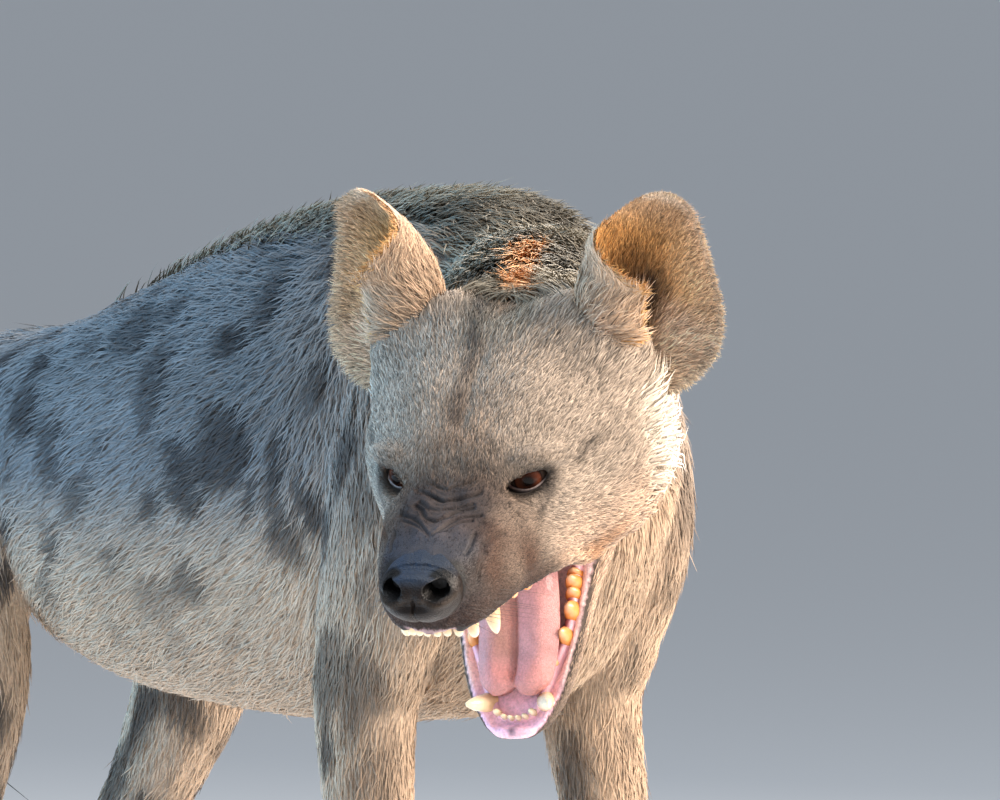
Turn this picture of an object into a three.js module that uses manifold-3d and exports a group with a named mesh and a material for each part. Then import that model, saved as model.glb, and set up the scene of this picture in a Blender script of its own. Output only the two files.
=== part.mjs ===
// A spotted hyena, life size, as a still museum model: it stands on four feet, the head low, turned to
// its right and gaping. Millimetres, +Z up. The animal faces -Y and its left side is +X.
import * as THREE from "three";
import { LoftGeometry } from "three/addons/geometries/LoftGeometry.js";
import { mergeVertices } from "three/addons/utils/BufferGeometryUtils.js";
import Module from "manifold-3d";

const wasm = await Module();
wasm.setup();

// Driving dimensions of the animal.
const SHOULDER_HEIGHT = 795; // ground to the top of the withers, without the crest
const HIP_HEIGHT = 690; // ground to the croup, so that the back slopes
const TRUNK_LENGTH = 790; // breast to rump
const CHEST_DEPTH = 392; // withers to breastbone
const CHEST_HALF = 144; // half the width over the ribs
const LEG_SPREAD = 94; // middle plane to the middle of a paw
const STRIDE = 44; // how far the leading foot of a pair stands ahead of the other one's middle
const HEAD_TURN = -58; // degrees, to the animal's right
const HEAD_NOD = 22.5; // degrees, nose down
const GAPE = 52; // degrees that the lower jaw is open
const SWAY = 2.2; // degrees that the lower jaw swings to the animal's left
const EYE_RADIUS = 14;
const TAIL_LENGTH = 315; // hip height down to the end of the tail's flesh
const EAR_LENGTH = 119;
const EAR_HALF = 54; // half the breadth of an ear
const CUT = 0.32; // gap kept between neighbouring nodes

// Places worked out from them.
const BREAST_Y = -0.48 * TRUNK_LENGTH;
const RUMP_Y = BREAST_Y + TRUNK_LENGTH;
const BREASTBONE = SHOULDER_HEIGHT - CHEST_DEPTH;
const EYES = new THREE.Vector3(-250, -530, 0.767 * SHOULDER_HEIGHT); // midpoint between the eyes

// Places in the head's own frame: the nose's tip is the origin, +Y runs back and the palate lies level.
const BETWEEN_EYES = new THREE.Vector3(0, 119, 68);
const EYE = new THREE.Vector3(43.5, 119, 70);
const GAZE = new THREE.Vector3(0.37, -0.93, 0.06).normalize();
const HINGE = new THREE.Vector3(0, 184, 32);
const EAR_ROOT = new THREE.Vector3(70, 246, 104);
const NAPE_Y = 262; // where the head is parted from the neck

const X_AXIS = new THREE.Vector3(1, 0, 0);
const Z_AXIS = new THREE.Vector3(0, 0, 1);
const radians = THREE.MathUtils.degToRad;
const v3 = (x, y, z) => new THREE.Vector3(x, y, z);
const mix = THREE.MathUtils.lerp;

// A manifold solid from a closed geometry: shared corners are merged and faces with no width dropped.
function solidOf(geometry) {
  const bare = new THREE.BufferGeometry();
  bare.setAttribute("position", geometry.attributes.position);
  bare.setIndex(geometry.index);
  const merged = mergeVertices(bare, 1e-3);
  const kept = [];
  for (let i = 0; i < merged.index.count; i += 3) {
    const [a, b, c] = merged.index.array.slice(i, i + 3);
    if (a !== b && b !== c && c !== a) kept.push(a, b, c);
  }
  const vertProperties = merged.attributes.position.array;
  return new wasm.Manifold(new wasm.Mesh({ numProp: 3, vertProperties, triVerts: new Uint32Array(kept) }));
}

// The largest closed surface of a solid.
function largest(solid) {
  return solid.decompose().reduce((a, b) => (b.volume() > a.volume() ? b : a));
}

const moved = (solid, matrix) => solid.transform(matrix.elements);
const joined = (solids) => solids.reduce((a, b) => a.add(b));
const mirrored = (solid) => solid.mirror([1, 0, 0]);

// The side of a plane through a point that its normal points to, from a gap's half beyond it.
function beyond(solid, point, normal) {
  const n = normal.clone().normalize();
  return solid.trimByPlane(n.toArray(), n.dot(point) + CUT / 2);
}

// A body lofted through stations [x, y, z, wide, up, down]: the middle of each section, and how far it reaches
// to the sides, up and down. Both run as Catmull-Rom curves, and each section is a superellipse.
function form(stations, { rings = 20, sides = 20, across, square = 2.2 } = {}) {
  const curve = (a, b, c) =>
    new THREE.CatmullRomCurve3(stations.map((s) => v3(s[a], s[b], s[c])), false, "catmullrom");
  const middle = curve(0, 1, 2);
  const reach = curve(3, 4, 5);
  const swell = (x) => Math.sign(x) * Math.abs(x) ** (2 / square);

  function frame(t) {
    const along = middle.getTangent(t);
    const side = (across ?? v3().crossVectors(along, Z_AXIS)).clone().normalize();
    const lift = v3().crossVectors(side, along).normalize();
    return { middle: middle.getPoint(t), along, side, lift, reach: reach.getPoint(t).max(v3(0.5, 0.5, 0.5)) };
  }
  function point(t, angle, grow = 0) {
    const f = frame(t);
    const [c, s] = [swell(Math.cos(angle)), swell(Math.sin(angle))];
    const height = (s > 0 ? f.reach.y : f.reach.z) + grow;
    return f.middle.addScaledVector(f.side, c * (f.reach.x + grow)).addScaledVector(f.lift, s * height);
  }
  function solid(grow = 0) {
    const sections = Array.from({ length: rings + 1 }, (_, i) =>
      Array.from({ length: sides }, (_, j) => point(i / rings, (-2 * Math.PI * j) / sides, grow)),
    );
    return solidOf(new LoftGeometry(sections, { capStart: true, capEnd: true }));
  }
  return { frame, point, solid };
}

const ball = (place, radii, turns = 16) =>
  solidOf(
    new THREE.SphereGeometry(1, turns, Math.round(turns * 0.6)).scale(...radii).translate(...place.toArray()),
  );

// A flat tapered lock of hair: it leaves its root along one way and bends towards another.
function lock(root, way, bend, flat, length, width, thick) {
  const sections = [];
  const steps = 3;
  for (let i = 0; i <= steps; i++) {
    const t = i / steps;
    const along = way.clone().lerp(bend, t).normalize();
    const place = root
      .clone()
      .addScaledVector(way, length * t * (1 - t / 2))
      .addScaledVector(bend, length * t * t * 0.5);
    const broad = flat.clone().addScaledVector(along, -flat.dot(along)).normalize();
    const deep = v3().crossVectors(along, broad);
    const share = Math.max(0.05, Math.sin(Math.PI * mix(0.36, 1, t)));
    sections.push(
      [0, 1, 2, 3].map((k) => {
        const a = (Math.PI / 2) * k;
        return place
          .clone()
          .addScaledVector(broad, (Math.cos(a) * width * share) / 2)
          .addScaledVector(deep, (Math.sin(a) * thick * share) / 2);
      }),
    );
  }
  return solidOf(new LoftGeometry(sections, { capStart: true, capEnd: true }));
}

// A small generator of repeatable draws from -1 to 1.
function draws(seed) {
  let state = seed;
  return () => {
    state = (state * 16807) % 2147483647;
    return (2 * state) / 2147483647 - 1;
  };
}

const group = new THREE.Group();
const head = new THREE.Group();
const jaw = new THREE.Group();
head.rotation.set(radians(HEAD_NOD), 0, radians(HEAD_TURN), "ZYX");
head.position.copy(EYES).sub(BETWEEN_EYES.clone().applyEuler(head.rotation));
jaw.rotation.set(radians(GAPE), 0, radians(SWAY));
jaw.position.copy(HINGE).sub(HINGE.clone().applyEuler(jaw.rotation));
group.add(head);
head.add(jaw);
group.updateMatrixWorld(true);
jaw.updateMatrix();

const coat = new THREE.MeshStandardMaterial({ color: 0xa8957a, roughness: 0.95 });
const darkCoat = new THREE.MeshStandardMaterial({ color: 0x5b4a3c, roughness: 0.9 });
const crestHair = new THREE.MeshStandardMaterial({ color: 0x8d7558, roughness: 0.95 });
const noseLeather = new THREE.MeshStandardMaterial({ color: 0x1d1a1b, roughness: 0.45 });
const mouthFlesh = new THREE.MeshStandardMaterial({ color: 0xd98f92, roughness: 0.4 });
const wetEye = new THREE.MeshStandardMaterial({ color: 0x2a1610, roughness: 0.08 });

// Adds a solid to the scene graph as one named mesh.
function node(parent, name, solid, material) {
  const { vertProperties, triVerts } = largest(solid).getMesh();
  const geometry = new THREE.BufferGeometry();
  geometry.setAttribute("position", new THREE.BufferAttribute(vertProperties, 3));
  geometry.setIndex(new THREE.BufferAttribute(triVerts, 1));
  geometry.computeVertexNormals();
  const mesh = new THREE.Mesh(geometry, material);
  mesh.name = name;
  parent.add(mesh);
}

// Trunk: a deep narrow chest, a back that slopes to low hips and a tucked belly.
const back = (y) => mix(SHOULDER_HEIGHT, HIP_HEIGHT, THREE.MathUtils.smoothstep(y, -180, 330));
const trunk = form(
  [
    [0, BREAST_Y, 622, 40, 45, 50],
    [0, BREAST_Y + 22, 620, 82, 92, 98],
    [0, BREAST_Y + 100, 612, 0.83 * CHEST_HALF, back(-280) - 620, 612 - BREASTBONE - 26],
    [0, -170, 604, 0.94 * CHEST_HALF, back(-170) - 604, 604 - BREASTBONE],
    [0, -20, 594, CHEST_HALF, back(-20) - 594, 594 - BREASTBONE + 6],
    [0, 130, 588, CHEST_HALF, back(130) - 588, 588 - BREASTBONE - 6],
    [0, 250, 592, 0.88 * CHEST_HALF, back(250) - 592, 592 - BREASTBONE - 52],
    [0, RUMP_Y - 70, 586, 0.7 * CHEST_HALF, back(RUMP_Y - 70) - 590, 92],
    [0, RUMP_Y - 14, 588, 0.42 * CHEST_HALF, 62, 60],
    [0, RUMP_Y, 590, 30, 34, 34],
  ],
  { rings: 18, sides: 20, across: X_AXIS, square: 2.3 },
);

// Neck: from between the shoulders it swings to the animal's right, up to the nape.
const toWorld = (x, y, z) => v3(x, y, z).applyMatrix4(head.matrix).toArray();
const neck = form(
  [
    [0, -150, 640, 114, 128, 150],
    [-4, -240, 645, 108, 130, 150],
    [-30, -322, 655, 94, 118, 138],
    [-80, -392, 660, 84, 102, 120],
    [...toWorld(0, NAPE_Y, 48), 86, 84, 92],
    [...toWorld(0, NAPE_Y - 46, 44), 84, 76, 78],
  ],
  { rings: 12, sides: 20, square: 2.1 },
);
const neckRoot = { point: v3(-6, -312, 650), normal: v3(-0.2, -0.97, 0.05) };

// Tail: hangs from the rump behind the thighs.
const tail = form(
  [
    [0, RUMP_Y - 46, HIP_HEIGHT - 60, 36, 36, 36],
    [0, RUMP_Y + 8, HIP_HEIGHT - 78, 28, 28, 28],
    [4, RUMP_Y + 38, HIP_HEIGHT - 130, 23, 22, 22],
    [8, RUMP_Y + 47, HIP_HEIGHT - 195, 20, 19, 19],
    [9, RUMP_Y + 45, HIP_HEIGHT - 265, 16, 15, 15],
    [8, RUMP_Y + 39, HIP_HEIGHT - TAIL_LENGTH, 7, 7, 7],
  ],
  { rings: 12, sides: 10, across: X_AXIS },
);
const tailRoot = { point: v3(0, RUMP_Y + 5, HIP_HEIGHT - 78), normal: v3(0, 0.94, -0.35) };

// A leg is lofted down through stations [out, y, z, wide, back, front], where out is from the middle plane and
// the stride shifts a station the more, the lower it is.
function leg(stations, side, stride, top, square) {
  return form(
    stations.map(([out, y, z, ...reach]) => [
      side * out,
      y + stride * THREE.MathUtils.smoothstep(top - z, 0, top),
      z,
      ...reach,
    ]),
    { rings: 13, sides: 12, across: X_AXIS, square },
  );
}
const FORELEG = [
  [62, -205, 735, 22, 40, 40],
  [88, -240, 660, 40, 78, 72],
  [98, -262, 570, 45, 90, 76],
  [98, -240, 485, 41, 72, 60],
  [96, -226, 425, 37, 58, 44],
  [LEG_SPREAD, -234, 330, 33, 38, 36],
  [LEG_SPREAD - 2, -242, 225, 27, 28, 29],
  [LEG_SPREAD - 2, -245, 165, 30, 28, 31],
  [LEG_SPREAD - 2, -252, 105, 27, 23, 25],
  [LEG_SPREAD, -262, 55, 33, 25, 30],
  [LEG_SPREAD, -268, 14, 36, 28, 34],
];
const HINDLEG = [
  [70, 262, 655, 26, 50, 50],
  [96, 276, 585, 48, 96, 92],
  [106, 276, 500, 50, 90, 86],
  [108, 262, 425, 43, 70, 62],
  [102, 292, 345, 34, 48, 46],
  [96, 342, 272, 26, 33, 33],
  [92, 372, 222, 26, 34, 27],
  [90, 370, 150, 24, 24, 22],
  [LEG_SPREAD - 2, 360, 90, 25, 22, 23],
  [LEG_SPREAD, 346, 50, 32, 25, 30],
  [LEG_SPREAD, 340, 14, 35, 26, 34],
];

const FORWARD_SIDE = v3(-1, 0, 0); // the side of a body that is lofted towards -Y

// A paw: four toes fan out ahead of the ankle, each with a blunt claw.
function paw(side, y, scale) {
  const pieces = [];
  for (const [i, fan] of [-1.5, -0.5, 0.5, 1.5].entries()) {
    const x = side * LEG_SPREAD + fan * 19 * scale;
    const ahead = (i === 1 || i === 2 ? 66 : 54) * scale;
    const slant = fan * 3.5 * scale;
    pieces.push(
      form(
        [
          [x - slant, y + 4, 30, 11 * scale, 16, 30],
          [x, y - ahead * 0.45, 25, 13 * scale, 17, 26],
          [x + slant * 0.7, y - ahead * 0.85, 17, 12 * scale, 13, 18],
          [x + slant, y - ahead, 13, 6 * scale, 6, 10],
        ],
        { rings: 3, sides: 5, across: FORWARD_SIDE },
      ).solid(),
      form(
        [
          [x + slant, y - ahead + 6, 17, 4, 4, 4],
          [x + slant, y - ahead - 8, 12, 3, 3, 3],
          [x + slant, y - ahead - 15, 5, 1, 1, 1],
        ],
        { rings: 2, sides: 4, across: FORWARD_SIDE },
      ).solid(),
    );
  }
  pieces.push(
    form(
      [
        [side * LEG_SPREAD, y + 30, 16, 14, 8, 18],
        [side * LEG_SPREAD, y + 14, 20, 28 * scale, 16, 24],
        [side * LEG_SPREAD, y - 14, 22, 32 * scale, 16, 24],
        [side * LEG_SPREAD, y - 30, 22, 22 * scale, 10, 20],
      ],
      { rings: 3, sides: 8, across: FORWARD_SIDE },
    ).solid(),
  );
  return joined(pieces);
}

const LEGS = [
  { name: "fore", side: 1, stations: FORELEG, stride: -STRIDE, top: 600, knee: 396, hip: v3(96, 0, 486) },
  { name: "fore", side: -1, stations: FORELEG, stride: STRIDE, top: 600, knee: 396, hip: v3(96, 0, 486) },
  { name: "hind", side: 1, stations: HINDLEG, stride: STRIDE * 0.9, top: 560, knee: 398, hip: v3(104, 0, 548) },
  { name: "hind", side: -1, stations: HINDLEG, stride: -STRIDE * 0.9, top: 560, knee: 398, hip: v3(104, 0, 548) },
];
const ANKLE_Z = 66;
const haunches = []; // the shoulders and hips, which stay with the trunk
for (const { name, side, stations, stride, top, knee, hip } of LEGS) {
  const limb = leg(stations, side, stride, top, 2.1).solid();
  const [, footY] = stations.at(-1);
  const foot = limb.add(paw(side, footY + stride, name === "fore" ? 1 : 0.92));
  const slope = v3(side * -0.55, 0, 0.83); // the leg is parted from the trunk on a slant
  const place = v3(side * hip.x, 0, hip.z);
  haunches.push(beyond(limb, place, slope));
  const free = beyond(foot, place, slope.clone().negate()).subtract(trunk.solid(CUT));
  const down = Z_AXIS.clone().negate();
  const label = side > 0 ? "left" : "right";
  node(group, `upper_${name}leg_${label}`, beyond(free, v3(0, 0, knee), Z_AXIS), coat);
  const shank = beyond(beyond(free, v3(0, 0, knee), down), v3(0, 0, ANKLE_Z), Z_AXIS);
  node(group, `lower_${name}leg_${label}`, shank, coat);
  const onFloor = beyond(free, v3(0, 0, ANKLE_Z), down).trimByPlane([0, 0, 1], 0);
  node(group, `${name}paw_${label}`, onFloor, darkCoat);
}

// Head, in its own frame: broad between the cheeks, high at the brow, a short deep muzzle.
const skull = form(
  [
    [0, 4, 28, 20, 18, 29],
    [0, 13, 29, 33, 29, 36],
    [0, 40, 28, 44, 38, 39],
    [0, 75, 30, 53, 45, 42],
    [0, 103, 34, 62, 56, 49],
    [0, 130, 42, 76, 70, 59],
    [0, 162, 46, 94, 86, 72],
    [0, 198, 46, 104, 100, 88],
    [0, 236, 48, 102, 102, 96],
    [0, 275, 48, 92, 94, 96],
    [0, 312, 44, 66, 66, 70],
  ],
  { rings: 17, sides: 20, across: X_AXIS, square: 2.4 },
);
const jawFlesh = form(
  [
    [0, 15, -22, 11, 8, 10],
    [0, 22, -19, 23, 12, 21],
    [0, 45, -18, 36, 10, 33],
    [0, 80, -18, 46, 10, 42],
    [0, 120, -20, 54, 12, 50],
    [0, 160, -24, 64, 22, 52],
    [0, 205, -24, 68, 34, 50],
    [0, 240, -18, 52, 30, 38],
  ],
  { rings: 10, sides: 16, across: X_AXIS, square: 2.2 },
);

// A roll of the upper lip along each cheek's lower edge, back to the mouth's corner.
const lipRoll = form(
  [
    [42, 74, 5, 4, 5, 4],
    [46, 92, 5, 5.5, 8, 6],
    [50, 110, 4.5, 6, 9, 6.5],
    [53, 128, 1, 6.5, 10, 7],
    [55, 145, -4.5, 7, 10, 7],
    [57, 163, -11, 7.5, 10, 7.5],
    [59, 180, -15, 7, 9, 7],
  ],
  { rings: 6, sides: 8 },
).solid();

// The room inside the mouth: under the palate, over the jaw's floor, and swept between them as the jaw opens.
const vault = form(
  [
    [0, 9, -8, 18, 12, 12],
    [0, 22, -10, 32, 17, 20],
    [0, 60, -10, 42, 18, 24],
    [0, 105, -14, 47, 22, 26],
    [0, 150, -12, 49, 20, 22],
    [0, 200, -8, 26, 14, 14],
  ],
  { rings: 8, sides: 12, across: X_AXIS, square: 3 },
);
const trough = form(
  [
    [0, 20, -12, 16, 12, 6],
    [0, 34, -10, 28, 16, 8],
    [0, 50, -9, 33, 18, 12],
    [0, 80, -8, 39, 20, 20],
    [0, 120, -6, 46, 22, 22],
    [0, 160, -4, 50, 22, 20],
    [0, 200, -4, 28, 18, 16],
  ],
  { rings: 8, sides: 12, across: X_AXIS, square: 3 },
);
const gullet = form(
  [
    [0, 100, -8, 38, 14, 12],
    [0, 140, -8, 49, 14, 12],
    [0, 175, -4, 42, 14, 12],
    [0, 205, -2, 22, 12, 10],
  ],
  { rings: 4, sides: 10, across: X_AXIS, square: 2.6 },
).solid();
const opened = (share) => {
  const turn = new THREE.Matrix4()
    .makeRotationX(radians(GAPE) * share)
    .multiply(new THREE.Matrix4().makeRotationZ(radians(SWAY) * share));
  return new THREE.Matrix4()
    .makeTranslation(HINGE)
    .multiply(turn)
    .multiply(new THREE.Matrix4().makeTranslation(HINGE.clone().negate()));
};
const sweep = joined([0.15, 0.5, 0.85].map((share) => moved(gullet, opened(share))));
const cavity = joined([vault.solid(), moved(trough.solid(), jaw.matrix), sweep]);

// An almond-shaped prism along the gaze, through which the eye looks out.
function lidSlit() {
  const [long, high] = [EYE_RADIUS * 1.05, EYE_RADIUS * 0.5];
  const almond = new THREE.Shape();
  almond.moveTo(-long, -2);
  almond.quadraticCurveTo(-2, high * 2.1, long, 2);
  almond.quadraticCurveTo(2, -high * 1.9, -long, -2);
  const prism = new THREE.ExtrudeGeometry(almond, { depth: 40, bevelEnabled: false, curveSegments: 6 });
  const turn = new THREE.Matrix4().lookAt(GAZE, v3(0, 0, 0), Z_AXIS).setPosition(EYE);
  return solidOf(prism.applyMatrix4(turn));
}
const bothSides = (solid) => solid.add(mirrored(solid));
const eyeball = (grow) => ball(EYE, Array(3).fill(EYE_RADIUS + grow), 14);
const lids = bothSides(ball(EYE, [EYE_RADIUS + 3, EYE_RADIUS + 3, EYE_RADIUS + 2.4], 14));
const sockets = bothSides(lidSlit().add(eyeball(CUT)));

// Nose: a broad leather pad with a comma-shaped nostril on each side.
const nosePad = form(
  [
    [0, -14, 43, 10, 6, 7],
    [0, -11, 42, 19, 12, 14],
    [0, -4, 38, 26, 17, 20],
    [0, 6, 36, 29, 19, 22],
    [0, 18, 40, 27, 15, 20],
    [0, 30, 45, 21, 10, 13],
    [0, 42, 49, 12, 5, 8],
  ],
  { rings: 7, sides: 14, across: X_AXIS, square: 2.3 },
);
const nostril = form(
  [
    [17.8, -22, 42.5, 10.5, 7.4, 7],
    [17.2, -9, 42.5, 9.2, 6.6, 6.2],
    [15.5, 0, 42.5, 6.5, 5, 5],
    [13, 10, 42, 3, 3, 3],
  ],
  { rings: 3, sides: 8, across: X_AXIS },
).solid();
const alarSlit = form(
  [
    [19, -14, 38, 3, 3.5, 3],
    [25, -8, 36.5, 2.6, 3.5, 2.6],
    [30, 0, 40, 2.4, 3, 2.4],
    [32, 8, 47, 2, 2.6, 2.2],
  ],
  { rings: 4, sides: 5 },
).solid();

// Brow ridges overhang the eyes.
const brow = form(
  [
    [18, 102, 80, 6, 5, 8],
    [38, 108, 87, 11, 7, 10],
    [57, 119, 86, 11, 7, 10],
    [74, 142, 76, 5, 4, 6],
  ],
  { rings: 5, sides: 8 },
).solid();

// A ruff of short locks at the back of each cheek, below the ear.
function ruff() {
  const draw = draws(5);
  const locks = [];
  for (let row = 0; row < 2; row++)
    for (let k = 0; k < 4; k++) {
      const t = mix(0.62, 0.72, row);
      const angle = mix(0.32, -0.72, (k + 0.5 * row) / 3.5);
      const f = skull.frame(t);
      const root = skull.point(t, angle, -5);
      const out = root.clone().sub(f.middle).normalize();
      const way = v3(0, 0.8, -0.25).addScaledVector(out, 0.55).normalize();
      const bend = v3(0, 0.75, -0.5).addScaledVector(out, 0.3 + 0.1 * draw()).normalize();
      const flat = v3().crossVectors(out, way).normalize();
      locks.push(lock(root, way, bend, flat, 46 * (1 + 0.1 * draw()), 20, 7));
    }
  return joined(locks);
}

const neckFromHead = moved(neck.solid(), head.matrix.clone().invert());
const jawInHead = moved(jawFlesh.solid(), jaw.matrix);
const naked = joined([
  skull.solid(),
  bothSides(brow),
  bothSides(lipRoll),
  bothSides(ruff()),
  lids,
  neckFromHead,
  jawInHead,
]);
const carved = naked.subtract(cavity).subtract(sockets).subtract(nosePad.solid(CUT));

// The lower jaw is parted from the head on a plane behind the mouth's corners.
const corner = { point: v3(0, 150, -28), normal: v3(0, 0.24, -0.97) };
const nape = { point: v3(0, NAPE_Y, 45), normal: v3(0, -1, 0) };
node(head, "nose", nosePad.solid().subtract(bothSides(nostril.add(alarSlit))), noseLeather);
for (const side of [1, -1]) {
  const whole = eyeball(0);
  node(head, side > 0 ? "eye_left" : "eye_right", side > 0 ? whole : mirrored(whole), wetEye);
}

// Ears: a rounded cup, open forwards and outwards, its outer edge set lower than the curled inner one.
const EAR_COLUMNS = [-1, -0.84, -0.68, -0.5, -0.2, 0.1, 0.4, 0.7, 1];
const EAR_CURL = 20; // radius of the curled inner edge
const CURL_FROM = -0.5;
function earShell() {
  const axis = v3(0.36, 0.26, 0.9).normalize();
  const gaze = v3(0.5, -0.86, 0.1);
  const face = gaze.clone().addScaledVector(axis, -gaze.dot(axis)).normalize();
  const wide = v3().crossVectors(face, axis).normalize();
  if (wide.x < 0) wide.negate();
  const rows = 8;
  const smooth = THREE.MathUtils.smoothstep;
  const breadth = (u) => {
    const oval = Math.sqrt(Math.max(0.0001, 1 - ((u - 0.51) / 0.505) ** 2));
    const lobe = 1 + 0.12 * Math.exp(-(((u - 0.3) / 0.24) ** 2));
    return EAR_HALF * oval * mix(0.93, 1, u) * (1 - 0.38 * smooth(u, 0.45, 1)) * lobe;
  };
  const place = (u, v, depth) => {
    const openness = radians(mix(105, 38, u ** 0.7));
    const radius = breadth(u) / Math.sin(Math.min(Math.PI / 2, openness));
    const flatter = smooth(u, 0.35, 0.8);
    const tight = Math.min(mix(EAR_CURL, 60, flatter), radius);
    const past = Math.max(0, CURL_FROM - v) * openness * radius * mix(1.6, 1, flatter);
    const bend = Math.max(v, CURL_FROM) * openness;
    const curl = Math.min(past / tight, 2.4);
    const out = Math.sin(bend) * (radius - tight) + Math.sin(bend - curl) * (tight + depth);
    const front = radius * 0.6 - Math.cos(bend) * (radius - tight) - Math.cos(bend - curl) * (tight + depth);
    return EAR_ROOT.clone()
      .addScaledVector(axis, EAR_LENGTH * u - 26 * (1 - u) * (v + 1) * 0.5)
      .addScaledVector(wide, out + 8 * (1 - u))
      .addScaledVector(face, front + 10 * u);
  };
  const thick = (u) => mix(6, 3.4, u);
  const sections = [];
  for (let i = 0; i <= rows; i++) {
    const u = mix(0.04, 0.99, i / rows);
    const inner = EAR_COLUMNS.map((v) => place(u, v, 0));
    const outer = EAR_COLUMNS.map((v) => place(u, v, thick(u)));
    sections.push([...inner, ...outer.reverse()]);
  }
  return solidOf(new LoftGeometry(sections, { capStart: true, capEnd: true }));
}
const neckAround = moved(neck.solid(CUT), head.matrix.clone().invert());
const ear = earShell().subtract(skull.solid(CUT));
node(head, "ear_left", ear.subtract(neckAround), coat);
node(head, "ear_right", mirrored(ear).subtract(neckAround), coat);

// A tooth [x, y, root, tip, wide, deep, out, back]: a cone whose tip leans out and back by the last two.
function tooth([x, y, root, tip, wide, deep, out = 0, back = 0.2 * wide], grow) {
  const sections = [
    [0, 1],
    [0.55, 0.88],
    [1, 0.22],
  ].map(([t, share]) =>
    Array.from({ length: 5 }, (_, k) => {
      const a = 0.4 * Math.PI * k * Math.sign(tip - root);
      const [across, along] = [(wide / 2) * share + grow, (deep / 2) * share + grow];
      return v3(x + out * t + across * Math.cos(a), y + back * t + along * Math.sin(a), mix(root, tip, t));
    }),
  );
  return solidOf(new LoftGeometry(sections, { capStart: true, capEnd: true }));
}
const UPPER_TEETH = [
  [3.6, 12.5, 4, -4, 6, 5.5],
  [10.2, 14.5, 4, -4.5, 6, 5.5],
  [16.8, 19, 4, -6.5, 6.5, 7],
  [24.5, 27, 4, -11, 8, 8],
  [32, 46, 4, -17, 11, 12.5],
  [34, 62, 4, -3, 7, 8],
  [37, 77, 4, -5, 9, 13],
  [41, 94, 4, -7, 11, 16],
  [45, 115, 4, -8, 10, 24],
];
const LOWER_TEETH = [
  [2.6, 27, -24, -8, 4.6, 4.4],
  [7.7, 28, -24, -8, 5, 4.6],
  [13, 31, -24, -7, 5.6, 5.6],
  [19, 42, -26, 4, 13, 14, 11, -10],
  [27, 66, -24, -11, 6, 7],
  [33, 85, -24, -5, 9, 13],
  [36.5, 103, -24, -6, 10.5, 15],
  [36, 122, -24, -7, 11, 22],
];
const GUM_LEVEL = -15; // top of the plate that carries the lower teeth
const gumOf = (room, low, high) =>
  room.solid(-CUT).trimByPlane([0, 0, 1], low).trimByPlane([0, 0, -1], -high).trimByPlane([0, -1, 0], -150);
const upperTeeth = (grow) => bothSides(joined(UPPER_TEETH.map((row) => tooth(row, grow))));
const lowerTeeth = (grow) => bothSides(joined(LOWER_TEETH.map((row) => tooth(row, grow))));
const lowerPlate = gumOf(trough, -40, GUM_LEVEL);
node(head, "upper_teeth", gumOf(vault, -1, 20).add(upperTeeth(0)), mouthFlesh);
node(jaw, "lower_teeth", lowerPlate.add(lowerTeeth(0)), mouthFlesh);

// Tongue: thick, with a groove down its middle, lying in the lower jaw.
const tongue = form(
  [
    [0, 45, -13, 16, 4, 5],
    [0, 51, -12, 25, 8, 7],
    [0, 62, -10.5, 28, 10.5, 8],
    [0, 82, -9, 29, 12, 9],
    [0, 122, -6, 30, 15, 12],
    [0, 172, -3, 26, 16, 14],
  ],
  { rings: 8, sides: 14, across: X_AXIS, square: 2.6 },
);
const groove = form(
  [
    [0, 38, -6, 2.5, 6, 5],
    [0, 62, -1, 2.5, 8, 5],
    [0, 90, 3, 2.5, 8, 4],
    [0, 150, 9, 2.5, 8, 4],
  ],
  { rings: 6, sides: 6, across: X_AXIS },
);
const room = lowerPlate.translate([0, 0, CUT]).add(lowerTeeth(0.45));
const tongueFree = tongue.solid().subtract(groove.solid()).subtract(room);
node(jaw, "tongue", tongueFree, mouthFlesh);

const jawOnly = beyond(carved, corner.point, corner.normal);
const jawAlone = beyond(jawOnly, nape.point, nape.normal);
node(jaw, "lower_jaw", moved(jawAlone, jaw.matrix.clone().invert()).subtract(lowerTeeth(0.45)), coat);
const headOnly = beyond(beyond(carved, nape.point, nape.normal), corner.point, corner.normal.clone().negate());
node(head, "head", headOnly.subtract(upperTeeth(0.6)), coat);

// Neck and trunk are parted on a plane at the neck's root, and both carry the crest.
const frontHalf = joined([moved(skull.solid(), head.matrix), moved(jawInHead, head.matrix), neck.solid()]);
const hollow = moved(cavity, head.matrix);
const body = joined([trunk.solid(), tail.solid(), neck.solid(), ...haunches]);
const worldNape = {
  point: nape.point.clone().applyMatrix4(head.matrix),
  normal: nape.normal.clone().transformDirection(head.matrix),
};
const neckWhole = beyond(
  beyond(body.add(frontHalf).subtract(hollow), neckRoot.point, neckRoot.normal),
  worldNape.point,
  worldNape.normal.clone().negate(),
);

// Crest: three staggered files of overlapping locks that rise from the nape and sweep forwards.
function crest(base, from, to, rows, spread, length, seed) {
  const draw = draws(seed);
  const locks = [];
  for (let i = 0; i < rows; i++)
    for (const file of [-1, 0, 1]) {
      const t = mix(from, to, (i + 0.5 * (file === 0)) / rows);
      const f = base.frame(t);
      const ahead = f.along.clone().multiplyScalar(Math.sign(to - from));
      const angle = Math.PI / 2 - file * (spread + 0.02 * draw());
      const root = base.point(t, angle, -8);
      const out = root.clone().sub(f.middle).normalize();
      const way = out.clone().addScaledVector(ahead, 0.55 + 0.1 * draw()).normalize();
      const bend = ahead.clone().addScaledVector(out, 0.28 + 0.08 * draw()).normalize();
      locks.push(lock(root, way, bend, f.side, length * (1 + 0.12 * draw()), 27, 8));
    }
  return joined(locks);
}
const neckCrest = crest(neck, 0.34, 0.84, 7, 0.2, 66, 11);
const neckBit = beyond(
  beyond(neckCrest, neckRoot.point, neckRoot.normal),
  worldNape.point,
  worldNape.normal.clone().negate(),
);
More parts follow.
